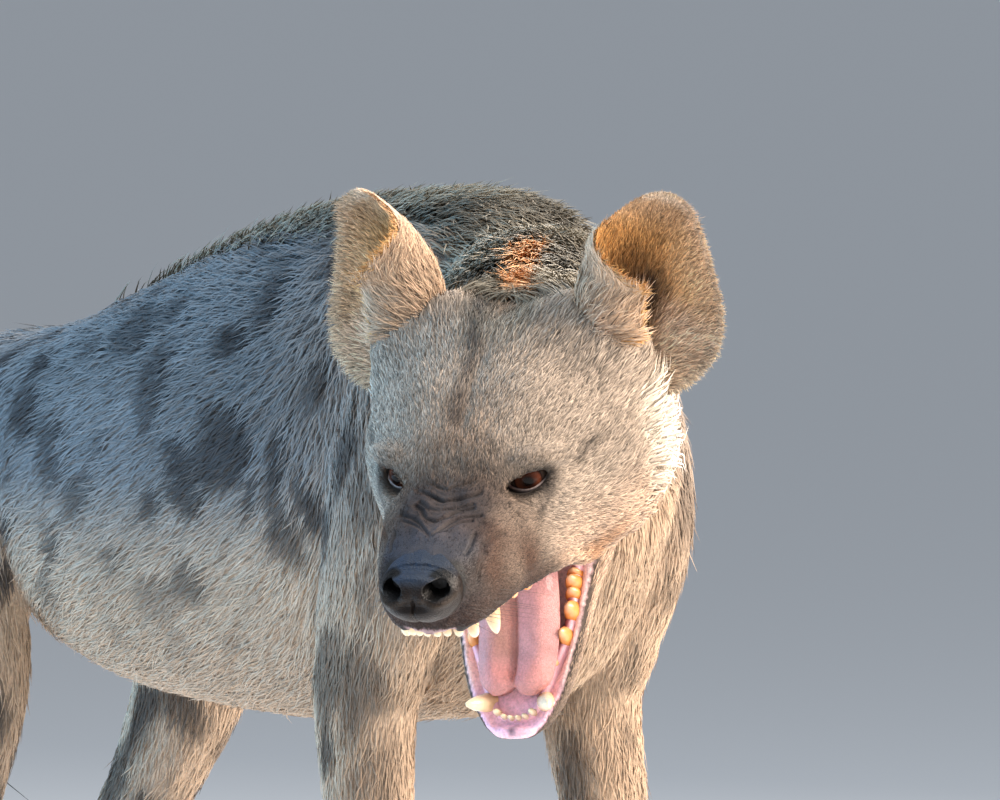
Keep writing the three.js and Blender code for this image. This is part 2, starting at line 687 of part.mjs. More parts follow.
node(group, "neck", neckWhole.add(neckBit), crestHair);

const rearOf = (solid) => beyond(solid, neckRoot.point, neckRoot.normal.clone().negate());
const trunkCrest = crest(trunk, 0.44, 0.15, 7, 0.11, 60, 29);
const torso = beyond(rearOf(body), tailRoot.point, tailRoot.normal.clone().negate());
node(group, "torso", torso.add(rearOf(trunkCrest)), coat);

// Tail brush: locks all round the lower half, hanging past its tip.
function brush() {
  const draw = draws(47);
  const locks = [];
  for (let row = 0; row < 4; row++)
    for (let k = 0; k < 4; k++) {
      const t = mix(0.5, 0.95, row / 3);
      const angle = ((k + 0.5 * (row % 2)) / 4) * 2 * Math.PI;
      const f = tail.frame(t);
      const root = tail.point(t, angle, -5);
      const out = root.clone().sub(f.middle).normalize();
      const way = f.along.clone().addScaledVector(out, 0.55).normalize();
      const bend = f.along.clone().addScaledVector(out, -0.08 + 0.1 * draw()).normalize();
      const flat = v3().crossVectors(out, f.along);
      locks.push(lock(root, way, bend, flat, 104 * (1 + 0.12 * draw()), 22, 8));
    }
  return joined(locks);
}
const tailFree = beyond(tail.solid(), tailRoot.point, tailRoot.normal);
node(group, "tail", tailFree.add(brush()), darkCoat);

// The origin is the middle of the bounding box's foot.
const bounds = new THREE.Box3().setFromObject(group, true);
const shift = bounds.getCenter(v3()).setZ(bounds.min.z).negate();
group.children.forEach((child) => child.position.add(shift));

export default group;
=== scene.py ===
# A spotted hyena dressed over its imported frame: one skin, ears, eyes, nose, mouth, claws and a coat of tufts.
# Shapes are worked out in the frame's own millimetres, before its shift, and placed in metres at the end.
import math
import bmesh
import bpy
import numpy as np
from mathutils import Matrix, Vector


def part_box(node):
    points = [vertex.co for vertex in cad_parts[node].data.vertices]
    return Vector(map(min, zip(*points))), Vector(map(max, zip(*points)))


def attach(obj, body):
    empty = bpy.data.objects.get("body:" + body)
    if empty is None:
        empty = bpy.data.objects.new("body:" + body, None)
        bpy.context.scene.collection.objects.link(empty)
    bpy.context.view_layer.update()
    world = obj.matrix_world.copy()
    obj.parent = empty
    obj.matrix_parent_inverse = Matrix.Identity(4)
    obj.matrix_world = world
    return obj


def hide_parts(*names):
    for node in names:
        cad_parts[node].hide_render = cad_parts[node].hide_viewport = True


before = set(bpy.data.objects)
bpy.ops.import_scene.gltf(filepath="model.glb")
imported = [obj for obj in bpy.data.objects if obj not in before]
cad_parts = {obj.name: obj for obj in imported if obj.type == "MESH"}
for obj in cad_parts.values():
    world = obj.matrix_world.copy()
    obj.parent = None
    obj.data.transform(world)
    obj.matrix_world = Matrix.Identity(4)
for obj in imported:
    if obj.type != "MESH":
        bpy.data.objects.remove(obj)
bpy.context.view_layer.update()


# Small tools

def unit(v):
    # each row at length one
    return v / np.maximum(np.linalg.norm(v, axis=-1, keepdims=True), 1e-9)


def mix(a, b, share):
    return a + (b - a) * share


def soft(value, low, high):
    # an even S-shaped rise from 0 at low to 1 at high, which may run downwards
    share = np.clip((value - low) / (high - low), 0, 1)
    return share * share * (3 - 2 * share)


def bell(value, width):
    # a bell curve, 1 in the middle
    return np.exp(-(value / width) ** 2)


def paint(r, g, b):
    # a display colour in 0 to 255 as linear light
    c = np.array([r, g, b]) / 255
    return np.where(c <= 0.04045, c / 12.92, ((c + 0.055) / 1.055) ** 2.4)


def blend(base, colour, share):
    # base rows moved towards one colour by a share for each row
    return base + (np.asarray(colour) - base) * np.asarray(share)[:, None]


def turnX(degrees):
    c, s = math.cos(math.radians(degrees)), math.sin(math.radians(degrees))
    return np.array([[1, 0, 0], [0, c, -s], [0, s, c]])


def turnZ(degrees):
    c, s = math.cos(math.radians(degrees)), math.sin(math.radians(degrees))
    return np.array([[c, -s, 0], [s, c, 0], [0, 0, 1]])


noiseRng = np.random.default_rng(12)
noiseWays = unit(noiseRng.normal(size=(9, 3))) * noiseRng.uniform(0.6, 1.6, (9, 1))
noisePhases = noiseRng.uniform(0, 6.28, 9)


def ripple(points, size):
    # smooth seeded noise: nine sine waves in nine directions, added up
    return np.sin(points @ noiseWays.T * (2.2 / size) + noisePhases).sum(1) / 4.2


# Where things are

stance = {
    "shoulderHeight": 795, "hipHeight": 690, "trunkLength": 790, "chestDepth": 392, "chestHalf": 144,
    "legSpread": 94, "stride": 44, "headTurn": -58, "headNod": 22.5, "gape": 52, "sway": 2.2,
    "tailLength": 315, "earLength": 119, "earHalf": 54,
}
breastY = -0.48 * stance["trunkLength"]
rumpY = breastY + stance["trunkLength"]
breastbone = stance["shoulderHeight"] - stance["chestDepth"]
eyes = np.array([-250, -530, 0.767 * stance["shoulderHeight"]])
eyeLevel = np.array([0, 119, 68])
eye = np.array([43.5, 119, 70])
gaze = unit(np.array([0.37, -0.93, 0.06]))
hinge = np.array([0, 184, 32])
earRoot = np.array([70, 246, 104])
napeY = 262
headTurn = turnZ(stance["headTurn"]) @ turnX(stance["headNod"])
headPlace = eyes - headTurn @ eyeLevel
mirror = np.array([-1, 1, 1])


def headToWorld(points):
    # the head turned and nodded about the point between its eyes
    return points @ headTurn.T + headPlace


def worldToHead(points):
    return (points - headPlace) @ headTurn


def partTurn(share):
    # the jaw's turn at a share of the gape
    return turnX(stance["gape"] * share) @ turnZ(stance["sway"] * share)


def jawToHead(points, share=1.0):
    # the jaw turns open about its hinge
    return (points - hinge) @ partTurn(share).T + hinge


def headToJaw(points, share=1.0):
    return (points - hinge) @ partTurn(share) + hinge


eyeLow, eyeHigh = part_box("eye_left")
shift = np.array((eyeLow + eyeHigh) / 2) * 1000 - headToWorld(eye)


def metres(points):
    return (points + shift) / 1000


# The camera looks as the photograph does, from far off with a long lens
view = {"azimuth": -38, "elevation": 2.5, "distance": 9000, "frameWidth": 1000 / 1.45, "right": 151,
        "up": 636.8}
azimuth, elevation = math.radians(view["azimuth"]), math.radians(view["elevation"])
ahead = np.array([
    -math.sin(azimuth) * math.cos(elevation),
    math.cos(azimuth) * math.cos(elevation),
    -math.sin(elevation),
])
rightWay = unit(np.cross(ahead, [0, 0, 1]))
upWay = np.cross(rightWay, ahead)
aim = rightWay * view["right"] + upWay * view["up"] + ahead * (ahead @ eyes)
cameraData = bpy.data.cameras.new("camera")
cameraData.sensor_fit = "HORIZONTAL"
cameraData.lens = 36 * view["distance"] / view["frameWidth"]
cameraData.clip_end = 200
camera = bpy.data.objects.new("camera", cameraData)
bpy.context.scene.collection.objects.link(camera)
camera.location = metres(aim - ahead * view["distance"])
camera.rotation_euler = (math.radians(90 - view["elevation"]), 0, math.radians(view["azimuth"]))
bpy.context.scene.camera = camera
print("camera set")


# Mesh tools

def meshPiece(name, points, faces):
    # an object from rows of points in metres and rows of corners
    mesh = bpy.data.meshes.new(name)
    mesh.vertices.add(len(points))
    mesh.vertices.foreach_set("co", points.astype(np.float32).ravel())
    mesh.loops.add(faces.size)
    mesh.loops.foreach_set("vertex_index", faces.astype(np.int32).ravel())
    mesh.polygons.add(len(faces))
    mesh.polygons.foreach_set("loop_start", np.arange(0, faces.size, faces.shape[1], dtype=np.int32))
    mesh.update(calc_edges=True)
    mesh.validate()
    mesh.shade_smooth()
    piece = bpy.data.objects.new(name, mesh)
    bpy.context.scene.collection.objects.link(piece)
    return piece


def headPiece(name, part, tone, flip=False):
    # a mesh given in the head's frame, mirrored for the animal's right, with its colours
    points, faces = mirrored(part) if flip else part
    piece = meshPiece(name, metres(headToWorld(points)), faces)
    setAttribute(piece, "tint", tone)
    return piece


def setAttribute(piece, name, values):
    # one number or one colour for each point of the mesh
    colour = np.ndim(values) == 2
    made = piece.data.attributes.new(name, "FLOAT_COLOR" if colour else "FLOAT", "POINT")
    if colour:
        rgba = np.ones((len(values), 4), np.float32)
        rgba[:, :3] = np.clip(values, 0, 1)
        made.data.foreach_set("color", rgba.ravel())
    else:
        made.data.foreach_set("value", np.asarray(values, np.float32))


def pointsOf(mesh):
    co = np.empty(len(mesh.vertices) * 3, np.float32)
    mesh.vertices.foreach_get("co", co)
    return co.reshape(-1, 3).astype(float)


def areasOf(points, triangles):
    a, b, c = points[triangles[:, 0]], points[triangles[:, 1]], points[triangles[:, 2]]
    return np.linalg.norm(np.cross(b - a, c - a), axis=1) / 2


def trianglesOf(mesh):
    mesh.calc_loop_triangles()
    corners = np.empty(len(mesh.loop_triangles) * 3, np.int32)
    mesh.loop_triangles.foreach_get("vertices", corners)
    return corners.reshape(-1, 3)


def edgesOf(mesh):
    ends = np.empty(len(mesh.edges) * 2, np.int32)
    mesh.edges.foreach_get("vertices", ends)
    return ends.reshape(-1, 2)


def normalsOf(points, triangles):
    # each point's normal: the crosswise areas of its triangles, added up
    a, b, c = points[triangles[:, 0]], points[triangles[:, 1]], points[triangles[:, 2]]
    area = np.cross(b - a, c - a)
    total = np.empty_like(points)
    for k in range(3):
        weights = np.repeat(area[:, k], 3)
        total[:, k] = np.bincount(triangles.ravel(), weights, len(points))
    return unit(total)


def averaged(values, edges):
    # for each point the mean of its neighbours' values
    count = np.bincount(edges.ravel(), minlength=len(values))
    out = np.empty_like(values)
    for k in range(values.shape[1]):
        one = np.bincount(edges[:, 0], values[edges[:, 1], k], len(values))
        out[:, k] = one + np.bincount(edges[:, 1], values[edges[:, 0], k], len(values))
    return out / np.maximum(count, 1)[:, None]


def relaxed(points, edges, rounds, share=1.0):
    # smoothing that keeps the volume: a step towards the neighbours' mean, then nearly as large a step away
    for _ in range(rounds):
        for step in (0.5, -0.52):
            points = points + (averaged(points, edges) - points) * step * share
    return points


def applied(piece):
    # a copy of the piece's mesh with its modifiers worked in
    depsgraph = bpy.context.evaluated_depsgraph_get()
    mesh = bpy.data.meshes.new_from_object(piece.evaluated_get(depsgraph))
    piece.modifiers.clear()
    old = piece.data
    piece.data = mesh
    bpy.data.meshes.remove(old)


def voxelRemesh(piece, size):
    # the piece's closed forms fused into one skin of small squares
    remesh = piece.modifiers.new("remesh", "REMESH")
    remesh.mode = "VOXEL"
    remesh.voxel_size = size / 1000


def carved(piece, cutter, size):
    # the cutter taken out of the piece, which is then fused again
    carve = piece.modifiers.new("carve", "BOOLEAN")
    carve.object = cutter
    carve.operation = "DIFFERENCE"
    carve.solver = "MANIFOLD"
    voxelRemesh(piece, size)
    applied(piece)
    bpy.data.objects.remove(cutter)


# Lofted forms

def catmullRom(rows, share):
    # an even curve through all rows, at shares from 0 to 1 of the way along them
    p = np.asarray(rows, float)
    p = np.vstack([2 * p[0] - p[1], p, 2 * p[-1] - p[-2]])
    spans = len(p) - 3
    u = np.clip(share, 0, 1) * spans
    i = np.minimum(u.astype(int), spans - 1)
    f = (u - i)[:, None]
    a, b, c, d = p[i], p[i + 1], p[i + 2], p[i + 3]
    return b + 0.5 * f * (c - a + f * (2 * a - 5 * b + 4 * c - d + f * (3 * (b - c) + d - a)))


sideways = np.array([1.0, 0, 0])


def form(stations, across=None, square=2.2):
    # a body through stations [x, y, z, wide, up, down]
    return {"rows": np.array(stations, float), "across": across, "square": square}


def framesOf(body, share):
    # middle, direction, side, lift and reach of the sections at some shares of the length
    rows = body["rows"]
    middle = catmullRom(rows[:, :3], share)
    along = unit(catmullRom(rows[:, :3], share + 1e-4) - catmullRom(rows[:, :3], share - 1e-4))
    if body["across"] is None:
        side = unit(np.cross(along, [0, 0, 1]))
    else:
        side = np.tile(body["across"], (len(share), 1))
    lift = unit(np.cross(side, along))
    return middle, along, side, lift, np.maximum(catmullRom(rows[:, 3:], share), 0.5)


def surfaceOf(body, share, angle, grow=0.0):
    # superellipse sections: the middle plus the reach to the side and up or down, each swelled by the square
    middle, _, side, lift, reach = framesOf(body, share)
    power = 2 / body["square"]
    c = np.sign(np.cos(angle)) * np.abs(np.cos(angle)) ** power
    s = np.sign(np.sin(angle)) * np.abs(np.sin(angle)) ** power
    height = np.maximum(np.where(s > 0, reach[:, 1], reach[:, 2]) + grow, 0.5)
    wide = np.maximum(reach[:, 0] + grow, 0.5)
    return middle + side * (c * wide)[:, None] + lift * (s * height)[:, None]


def tube(rings):
    # a closed surface over rings of points, with a fan at each end
    m, n = rings.shape[:2]
    points = np.vstack([rings.reshape(-1, 3), rings[0].mean(0), rings[-1].mean(0)])
    i, j = np.meshgrid(np.arange(m - 1), np.arange(n), indexing="ij")
    a, b = i * n + j, i * n + (j + 1) % n
    walls = np.stack([a, b, b + n, a, b + n, a + n], -1).reshape(-1, 3)
    k = np.arange(n)
    start = np.stack([np.full(n, m * n), (k + 1) % n, k], -1)
    end = np.stack([np.full(n, m * n + 1), (m - 1) * n + k, (m - 1) * n + (k + 1) % n], -1)
    faces = np.vstack([walls, start, end])
    a, b, c = points[faces[:, 0]], points[faces[:, 1]], points[faces[:, 2]]
    if np.einsum("ij,ij->i", a, np.cross(b, c)).sum() < 0:
        faces = faces[:, ::-1]
    return points, faces


def loft(body, rings=40, sides=36, grow=(0, 0), span=(0, 1)):
    # a closed loft whose growth runs from one number to another along it
    share, angle = np.meshgrid(np.linspace(*span, rings), np.arange(sides) / sides * 2 * np.pi, indexing="ij")
    growth = mix(grow[0], grow[1], soft(share.ravel(), 0.25, 0.7))
    return tube(surfaceOf(body, share.ravel(), angle.ravel(), growth).reshape(rings, sides, 3))


def ball(centre, radius, sides=28):
    # a globe in latitude rings
    lat, lon = np.meshgrid(np.linspace(0.02, math.pi - 0.02, sides // 2),
                           np.arange(sides) / sides * 2 * np.pi, indexing="ij")
    globe = np.stack([np.sin(lat) * np.cos(lon), np.sin(lat) * np.sin(lon), np.cos(lat)], -1)
    return tube(globe * radius + centre)


def together(parts):
    # several meshes as one
    points = np.vstack([p for p, _ in parts])
    starts = np.cumsum([0] + [len(p) for p, _ in parts[:-1]])
    return points, np.vstack([f + s for (_, f), s in zip(parts, starts)])


def placed(part, move):
    # a mesh with its points moved
    return move(part[0]), part[1]


def mirrored(part):
    # a mesh on the other side of the head, turned right side out
    return part[0] * mirror, part[1][:, ::-1]


# The body's forms, in the frame's measures

def backLine(y):
    # the back's height, from the withers down to the croup
    return float(mix(stance["shoulderHeight"], stance["hipHeight"], soft(y, -180, 330)))


half = stance["chestHalf"]
trunk = form([
    [0, breastY, 622, 40, 45, 50],
    [0, breastY + 22, 620, 82, 92, 98],
    [0, breastY + 100, 612, 0.83 * half, backLine(-280) - 620, 612 - breastbone - 26],
    [0, -170, 604, 0.94 * half, backLine(-170) - 604, 604 - breastbone],
    [0, -20, 594, half, backLine(-20) - 594, 594 - breastbone + 6],
    [0, 130, 588, half, backLine(130) - 588, 588 - breastbone - 6],
    [0, 250, 592, 0.88 * half, backLine(250) - 592, 592 - breastbone - 52],
    [0, rumpY - 70, 586, 0.7 * half, backLine(rumpY - 70) - 590, 92],
    [0, rumpY - 14, 588, 0.42 * half, 62, 60],
    [0, rumpY, 590, 30, 34, 34],
], sideways, 2.3)
neck = form([
    [0, -150, 640, 114, 128, 150],
    [-4, -240, 645, 108, 130, 150],
    [-30, -322, 655, 94, 118, 138],
    [-80, -392, 660, 84, 102, 120],
    [*headToWorld(np.array([0, napeY, 48])), 86, 84, 92],
    [*headToWorld(np.array([0, napeY - 46, 44])), 84, 76, 78],
], None, 2.1)
hip = stance["hipHeight"]
tail = form([
    [0, rumpY - 46, hip - 60, 36, 36, 36],
    [0, rumpY + 8, hip - 78, 28, 28, 28],
    [4, rumpY + 38, hip - 130, 23, 22, 22],
    [8, rumpY + 47, hip - 195, 20, 19, 19],
    [9, rumpY + 45, hip - 265, 16, 15, 15],
    [8, rumpY + 39, hip - stance["tailLength"], 7, 7, 7],
], sideways)
spread = stance["legSpread"]
foreleg = [
    [62, -205, 735, 22, 40, 40],
    [88, -240, 660, 40, 78, 72],
    [98, -262, 570, 45, 90, 76],
    [98, -240, 485, 41, 72, 60],
    [96, -226, 425, 37, 58, 44],
    [spread, -234, 330, 33, 38, 36],
    [spread - 2, -242, 225, 27, 28, 29],
    [spread - 2, -245, 165, 30, 28, 31],
    [spread - 2, -252, 105, 27, 23, 25],
    [spread, -262, 55, 33, 25, 30],
    [spread, -268, 14, 36, 28, 34],
]
hindleg = [
    [70, 262, 655, 26, 50, 50],
    [96, 276, 585, 48, 96, 92],
    [106, 276, 500, 50, 90, 86],
    [108, 262, 425, 43, 70, 62],
    [102, 292, 345, 34, 48, 46],
    [96, 342, 272, 26, 33, 33],
    [92, 372, 222, 26, 34, 27],
    [90, 370, 150, 24, 24, 22],
    [92, 360, 90, 25, 22, 23],
    [spread, 346, 50, 32, 25, 30],
    [spread, 340, 14, 35, 26, 34],
]


def legForm(stations, side, stride, top):
    # the stride moves a station forwards or back the more, the lower it is
    moved = [[side * s[0], s[1] + stride * float(soft(top - s[2], 0, top)), *s[2:]] for s in stations]
    return form(moved, sideways, 2.1)


stride = stance["stride"]
legs = [
    {"name": "foreleg_left", "side": 1, "body": legForm(foreleg, 1, -stride, 600), "scale": 1},
    {"name": "foreleg_right", "side": -1, "body": legForm(foreleg, -1, stride, 600), "scale": 1},
    {"name": "hindleg_left", "side": 1, "body": legForm(hindleg, 1, 0.9 * stride, 560), "scale": 0.92},
    {"name": "hindleg_right", "side": -1, "body": legForm(hindleg, -1, -0.9 * stride, 560), "scale": 0.92},
]
toeFans = [-1.5, -0.5, 0.5, 1.5]


def toePlace(leg, fan):
    # where a toe starts, how far it reaches ahead and how much it slants
    y = leg["body"]["rows"][-1, 1]
    x = leg["side"] * spread + fan * 19 * leg["scale"]
    return x, y, (66 if abs(fan) < 1 else 54) * leg["scale"], fan * 3.5 * leg["scale"]


def pawParts(leg):
    # four toes and the pad behind them
    k = leg["scale"]
    parts = []
    for fan in toeFans:
        x, y, reach, slant = toePlace(leg, fan)
        toe = form([
            [x - slant, y + 4, 30, 11 * k, 16, 30],
            [x - slant * 0.3, y - reach * 0.3, 27, 11.5 * k, 15, 26],
            [x, y - reach * 0.52, 25, 12 * k, 17, 26],
            [x + slant * 0.7, y - reach * 0.85, 17, 11.5 * k, 13, 18],
            [x + slant, y - reach, 13, 6 * k, 6, 10],
        ], -sideways)
        parts.append(loft(toe, 16, 18, (-1, -1)))
    pad = form([
        [leg["side"] * spread, y + 30, 16, 14, 8, 18],
        [leg["side"] * spread, y + 14, 20, 28 * k, 16, 24],
        [leg["side"] * spread, y - 14, 22, 32 * k, 16, 24],
        [leg["side"] * spread, y - 30, 22, 22 * k, 10, 20],
    ], -sideways)
    parts.append(loft(pad, 12, 24, (-1, -1)))
    return parts


skull = form([
    [0, 4, 28, 20, 18, 29],
    [0, 13, 29, 33, 29, 36],
    [0, 40, 28, 44, 38, 39],
    [0, 75, 30, 53, 45, 42],
    [0, 103, 34, 62, 56, 49],
    [0, 130, 42, 76, 70, 59],
    [0, 162, 46, 94, 86, 72],
    [0, 198, 46, 104, 100, 88],
    [0, 236, 48, 102, 102, 96],
    [0, 275, 48, 92, 94, 96],
    [0, 312, 44, 66, 66, 70],
], sideways, 2.4)
jaw = form([
    [0, 15, -22, 11, 8, 10],
    [0, 22, -19, 23, 12, 21],
    [0, 45, -18, 36, 10, 33],
    [0, 80, -18, 46, 10, 42],
    [0, 120, -20, 54, 12, 50],
    [0, 160, -24, 64, 22, 52],
    [0, 205, -24, 68, 34, 50],
    [0, 240, -18, 52, 30, 38],
], sideways, 2.2)
brow = form([
    [18, 102, 80, 6, 5, 8],
    [38, 108, 87, 11, 7, 10],
    [57, 119, 86, 11, 7, 10],
    [74, 142, 76, 5, 4, 6],
])
lipRoll = form([
    [42, 74, 5, 4, 5, 4],
    [46, 92, 5, 5.5, 8, 6],
    [50, 110, 4.5, 6, 9, 6.5],
    [53, 128, 1, 6.5, 10, 7],
    [55, 145, -4.5, 7, 10, 7],
    [57, 163, -11, 7.5, 10, 7.5],
    [59, 180, -15, 7, 9, 7],
])
vault = form([
    [0, 9, -8, 18, 12, 12],
    [0, 22, -10, 32, 17, 20],
    [0, 60, -10, 42, 18, 24],
    [0, 105, -14, 47, 22, 26],
    [0, 150, -12, 49, 20, 22],
    [0, 200, -8, 26, 14, 14],
], sideways, 3)
trough = form([
    [0, 20, -12, 16, 12, 6],
    [0, 34, -10, 28, 16, 8],
    [0, 50, -9, 33, 18, 12],
    [0, 80, -8, 39, 20, 20],
    [0, 120, -6, 46, 22, 22],
    [0, 160, -4, 50, 22, 20],
    [0, 200, -4, 28, 18, 16],
], sideways, 3)
gullet = form([
    [0, 100, -8, 38, 14, 12],
    [0, 140, -8, 49, 14, 12],
    [0, 175, -4, 42, 14, 12],
    [0, 205, -2, 22, 12, 10],
], sideways, 2.6)
gulletShares = (0.12, 0.3, 0.5, 0.7, 0.88)  # shares of the gape at which the gullet is carved out


# Eyes and lids

eyeSet = {"radius": 15.2, "sunk": 1.8, "long": 14.2, "upper": 5.0, "lower": 4.8, "slant": 10}
eyeCentre = eye - gaze * eyeSet["sunk"]
eyeSide = unit(np.cross([0, 0, 1], gaze))
eyeUp = np.cross(gaze, eyeSide)
tilt = math.radians(eyeSet["slant"])
eyeOut = eyeSide * math.cos(tilt) + eyeUp * math.sin(tilt)
eyeLift = eyeUp * math.cos(tilt) - eyeSide * math.sin(tilt)


def almond(angle, longer=0.0, higher=0.0):
    # the slit between the lids across the gaze: pointed ellipse, flatter below than above
    s = np.sin(angle)
    high = np.where(s > 0, eyeSet["upper"], eyeSet["lower"]) + higher
    x = (eyeSet["long"] + longer) * np.cos(angle)
    y = high * s * np.abs(s) ** 0.15 - 0.06 * x * (x < 0)
    return x, y


def eyeCutter():
    # the almond carried along the gaze
    depth, angle = np.meshgrid(np.linspace(2, 44, 8), np.arange(28) / 28 * 2 * np.pi, indexing="ij")
    x, y = almond(angle, 1.6, 1.8)
    return tube(eyeCentre + x[..., None] * eyeOut + y[..., None] * eyeLift + depth[..., None] * gaze)


# The skin: all forms fused on a fine grid, the mouth and sockets cut out, then fused and smoothed again
skinSet = {"voxel": 2.5, "cutVoxel": 2.0, "triangles": 121000, "coatTrunk": -12, "coatNeck": -13,
           "coatLegTop": -10, "coatLegFoot": -3, "coatNose": -1.0, "coatCrown": -6.5, "coatTail": -5}

flesh = [
    loft(trunk, 90, 72, (skinSet["coatTrunk"],) * 2),
    loft(neck, 60, 64, (skinSet["coatNeck"], -8)),
    loft(tail, 40, 24, (skinSet["coatTail"], -4)),
]
for leg in legs:
    flesh.append(loft(leg["body"], 90, 36, (skinSet["coatLegTop"], skinSet["coatLegFoot"])))
    flesh.extend(pawParts(leg))
skullPart = loft(skull, 110, 96, (skinSet["coatNose"], skinSet["coatCrown"]))
browPart = loft(brow, 24, 20, (-1.5, -1.5))
lidBall = ball(eyeCentre, eyeSet["radius"] + 1.6)
lipPart = loft(lipRoll, 40, 20, (-0.5, -0.5))
jawPart = placed(loft(jaw, 80, 72, (-1, -4)), jawToHead)
for part in (skullPart, browPart, mirrored(browPart), lidBall, mirrored(lidBall), lipPart, mirrored(lipPart),
             jawPart):
    flesh.append(placed(part, headToWorld))
hollow = [loft(vault, 50, 48), placed(loft(trough, 50, 48), jawToHead)]
for share in gulletShares:
    hollow.append(placed(loft(gullet, 24, 36), lambda p: jawToHead(p, share)))
socket = [eyeCutter(), ball(eyeCentre, eyeSet["radius"] + 0.3)]
hollow += socket + [mirrored(part) for part in socket]

soupPoints, soupFaces = together(flesh)
skin = meshPiece("skin", metres(soupPoints), soupFaces)
cutPoints, cutFaces = together([placed(part, headToWorld) for part in hollow])
cutter = meshPiece("cutter", metres(cutPoints), cutFaces)
voxelRemesh(cutter, skinSet["cutVoxel"])
applied(cutter)
voxelRemesh(skin, skinSet["voxel"])
carved(skin, cutter, skinSet["voxel"])
print("skin fused:", len(skin.data.polygons), "faces")


def designPoints(mesh):
    return pointsOf(mesh) * 1000 - shift


def writePoints(mesh, points):
    mesh.vertices.foreach_set("co", metres(points).astype(np.float32).ravel())
    mesh.update()


points = relaxed(designPoints(skin.data), edgesOf(skin.data), 5)
writePoints(skin.data, points)

# Thin the mesh out where the long coat covers it, and keep the face, jaws and paws fine
local = worldToHead(points)
keep = np.maximum(soft(local[:, 1], 225, 185) * (np.linalg.norm(local[:, [0, 2]], axis=1) < 260),
                  points[:, 2] < 45)
guard = skin.vertex_groups.new(name="thin")
for weight in (0.0, 1.0):
    chosen = np.flatnonzero((keep > 0.5) == (weight < 0.5))
    guard.add(chosen.tolist(), weight, "REPLACE")
thin = skin.modifiers.new("thin", "DECIMATE")
thin.ratio = min(1.0, skinSet["triangles"] / max(1, len(trianglesOf(skin.data))))
thin.vertex_group = "thin"
applied(skin)
skin.vertex_groups.clear()
print("skin thinned:", len(trianglesOf(skin.data)), "triangles")


def onMuzzle(local, span, low, half):
    # points of the head's upper front, from span[0] to span[1] behind the nose
    x, y, z = local.T
    return (y > span[0]) & (y < span[1]) & (z > low) & (np.abs(x) < half)


def onFineFace(local):
    nearEye = np.minimum(np.linalg.norm(local - eye, axis=1),
                         np.linalg.norm(local - eye * mirror, axis=1)) < 30
    return nearEye | (onMuzzle(local, (16, 122), 14, 66) & (headToJaw(local)[:, 2] > -8))


def onBridge(local):
    return onMuzzle(local, (28, 98), 52, 32)


# Twice as many faces where the muzzle wrinkles and round the eyes, and twice as many again on the bridge
fine = bmesh.new()
fine.from_mesh(skin.data)
for region in (onFineFace, onBridge):
    fine.verts.ensure_lookup_table()
    fine.verts.index_update()
    inside = region(worldToHead(np.array([v.co for v in fine.verts]) * 1000 - shift))
    picked = [e for e in fine.edges if inside[e.verts[0].index] and inside[e.verts[1].index]]
    bmesh.ops.subdivide_edges(fine, edges=picked, cuts=1, use_grid_fill=True)
    bmesh.ops.triangulate(fine, faces=fine.faces)
fine.to_mesh(skin.data)
fine.free()
skin.data.shade_smooth()
print("skin refined:", len(skin.data.polygons), "triangles")

# Relief of the face, in the head's frame: soft mounds and hollows [x, y, z, radius, height], both sides alike
mounds = [
    [34, 96, 66, 15, -3.0],
    [62, 128, 52, 20, 3.0],
    [30, 70, 50, 15, 2.5],
    [46, 60, 20, 16, 3.0],
    [34, 30, 14, 12, 2.0],
    [80, 168, 60, 26, 2.5],
    [60, 106, 40, 14, -2.5],
    [40, 150, 118, 26, 2.5],
    [64, 122, 10, 16, 2.0],
    [50, 236, 144, 26, 16],
    [78, 221, 122, 24, 14],
    [88, 236, 106, 30, 13],
]
# Creases of the snarl [width, depth, points in the head's frame], alike on both sides
creases = [
    [1.8, 2.7, [[0, 67, 73], [12, 72, 74], [24, 80, 74]]],
    [1.6, 2.3, [[0, 58, 71], [9, 60, 71], [20, 69, 71]]],
    [1.8, 2.8, [[0, 48, 68], [8, 51, 69], [14, 61, 70], [21, 66, 70]]],
    [1.6, 2.3, [[0, 33, 64], [8, 43, 66], [19, 55, 67], [28, 62, 65]]],
    [1.5, 1.7, [[6, 38, 65], [15, 46, 66], [25, 54, 65]]],
    [1.7, 1.8, [[0, 78, 77], [10, 82, 78], [22, 90, 78]]],
    [2.4, 2.4, [[44, 60, 54], [38, 49, 54], [36, 40, 53], [38, 33, 48], [37, 26, 42], [35, 16, 35]]],
    [1.7, 2.2, [[30, 43, 60], [30, 34, 56], [27, 27, 54]]],
    [2.2, 1.8, [[52, 68, 47], [48, 50, 40], [45, 38, 30], [42, 28, 22]]],
    [1.3, 1.4, [[39, 92, 76], [46, 88, 66], [56, 92, 56]]],
    [1.2, 1.1, [[35, 84, 73], [43, 79, 62], [54, 82, 48]]],
    [1.5, 1.2, [[50, 100, 86], [62, 112, 86], [76, 130, 80], [86, 150, 75]]],
]


def faceCreases(local):
    # how deep each crease cuts at a point: a bell of the distance to its line, in folded coordinates
    sway = np.stack([ripple(local, 10), ripple(local + 30, 9), 0 * local[:, 0]], 1) * 1.5
    place = np.stack([np.abs(local[:, 0]), local[:, 1], local[:, 2]], 1) + sway
    cut, puff = np.zeros(len(local)), np.zeros(len(local))
    for width, depth, line in creases:
        line = np.array(line, float)
        near = np.full(len(local), 99.0)
        for a, b in zip(line[:-1], line[1:]):
            share = np.clip(((place - a) @ (b - a)) / ((b - a) @ (b - a)), 0, 1)
            near = np.minimum(near, np.linalg.norm(place - a - share[:, None] * (b - a), axis=1))
        cut = np.maximum(cut, depth * bell(near, width))
        puff = np.maximum(puff, depth * bell(near, width * 3.0))
    return cut, puff


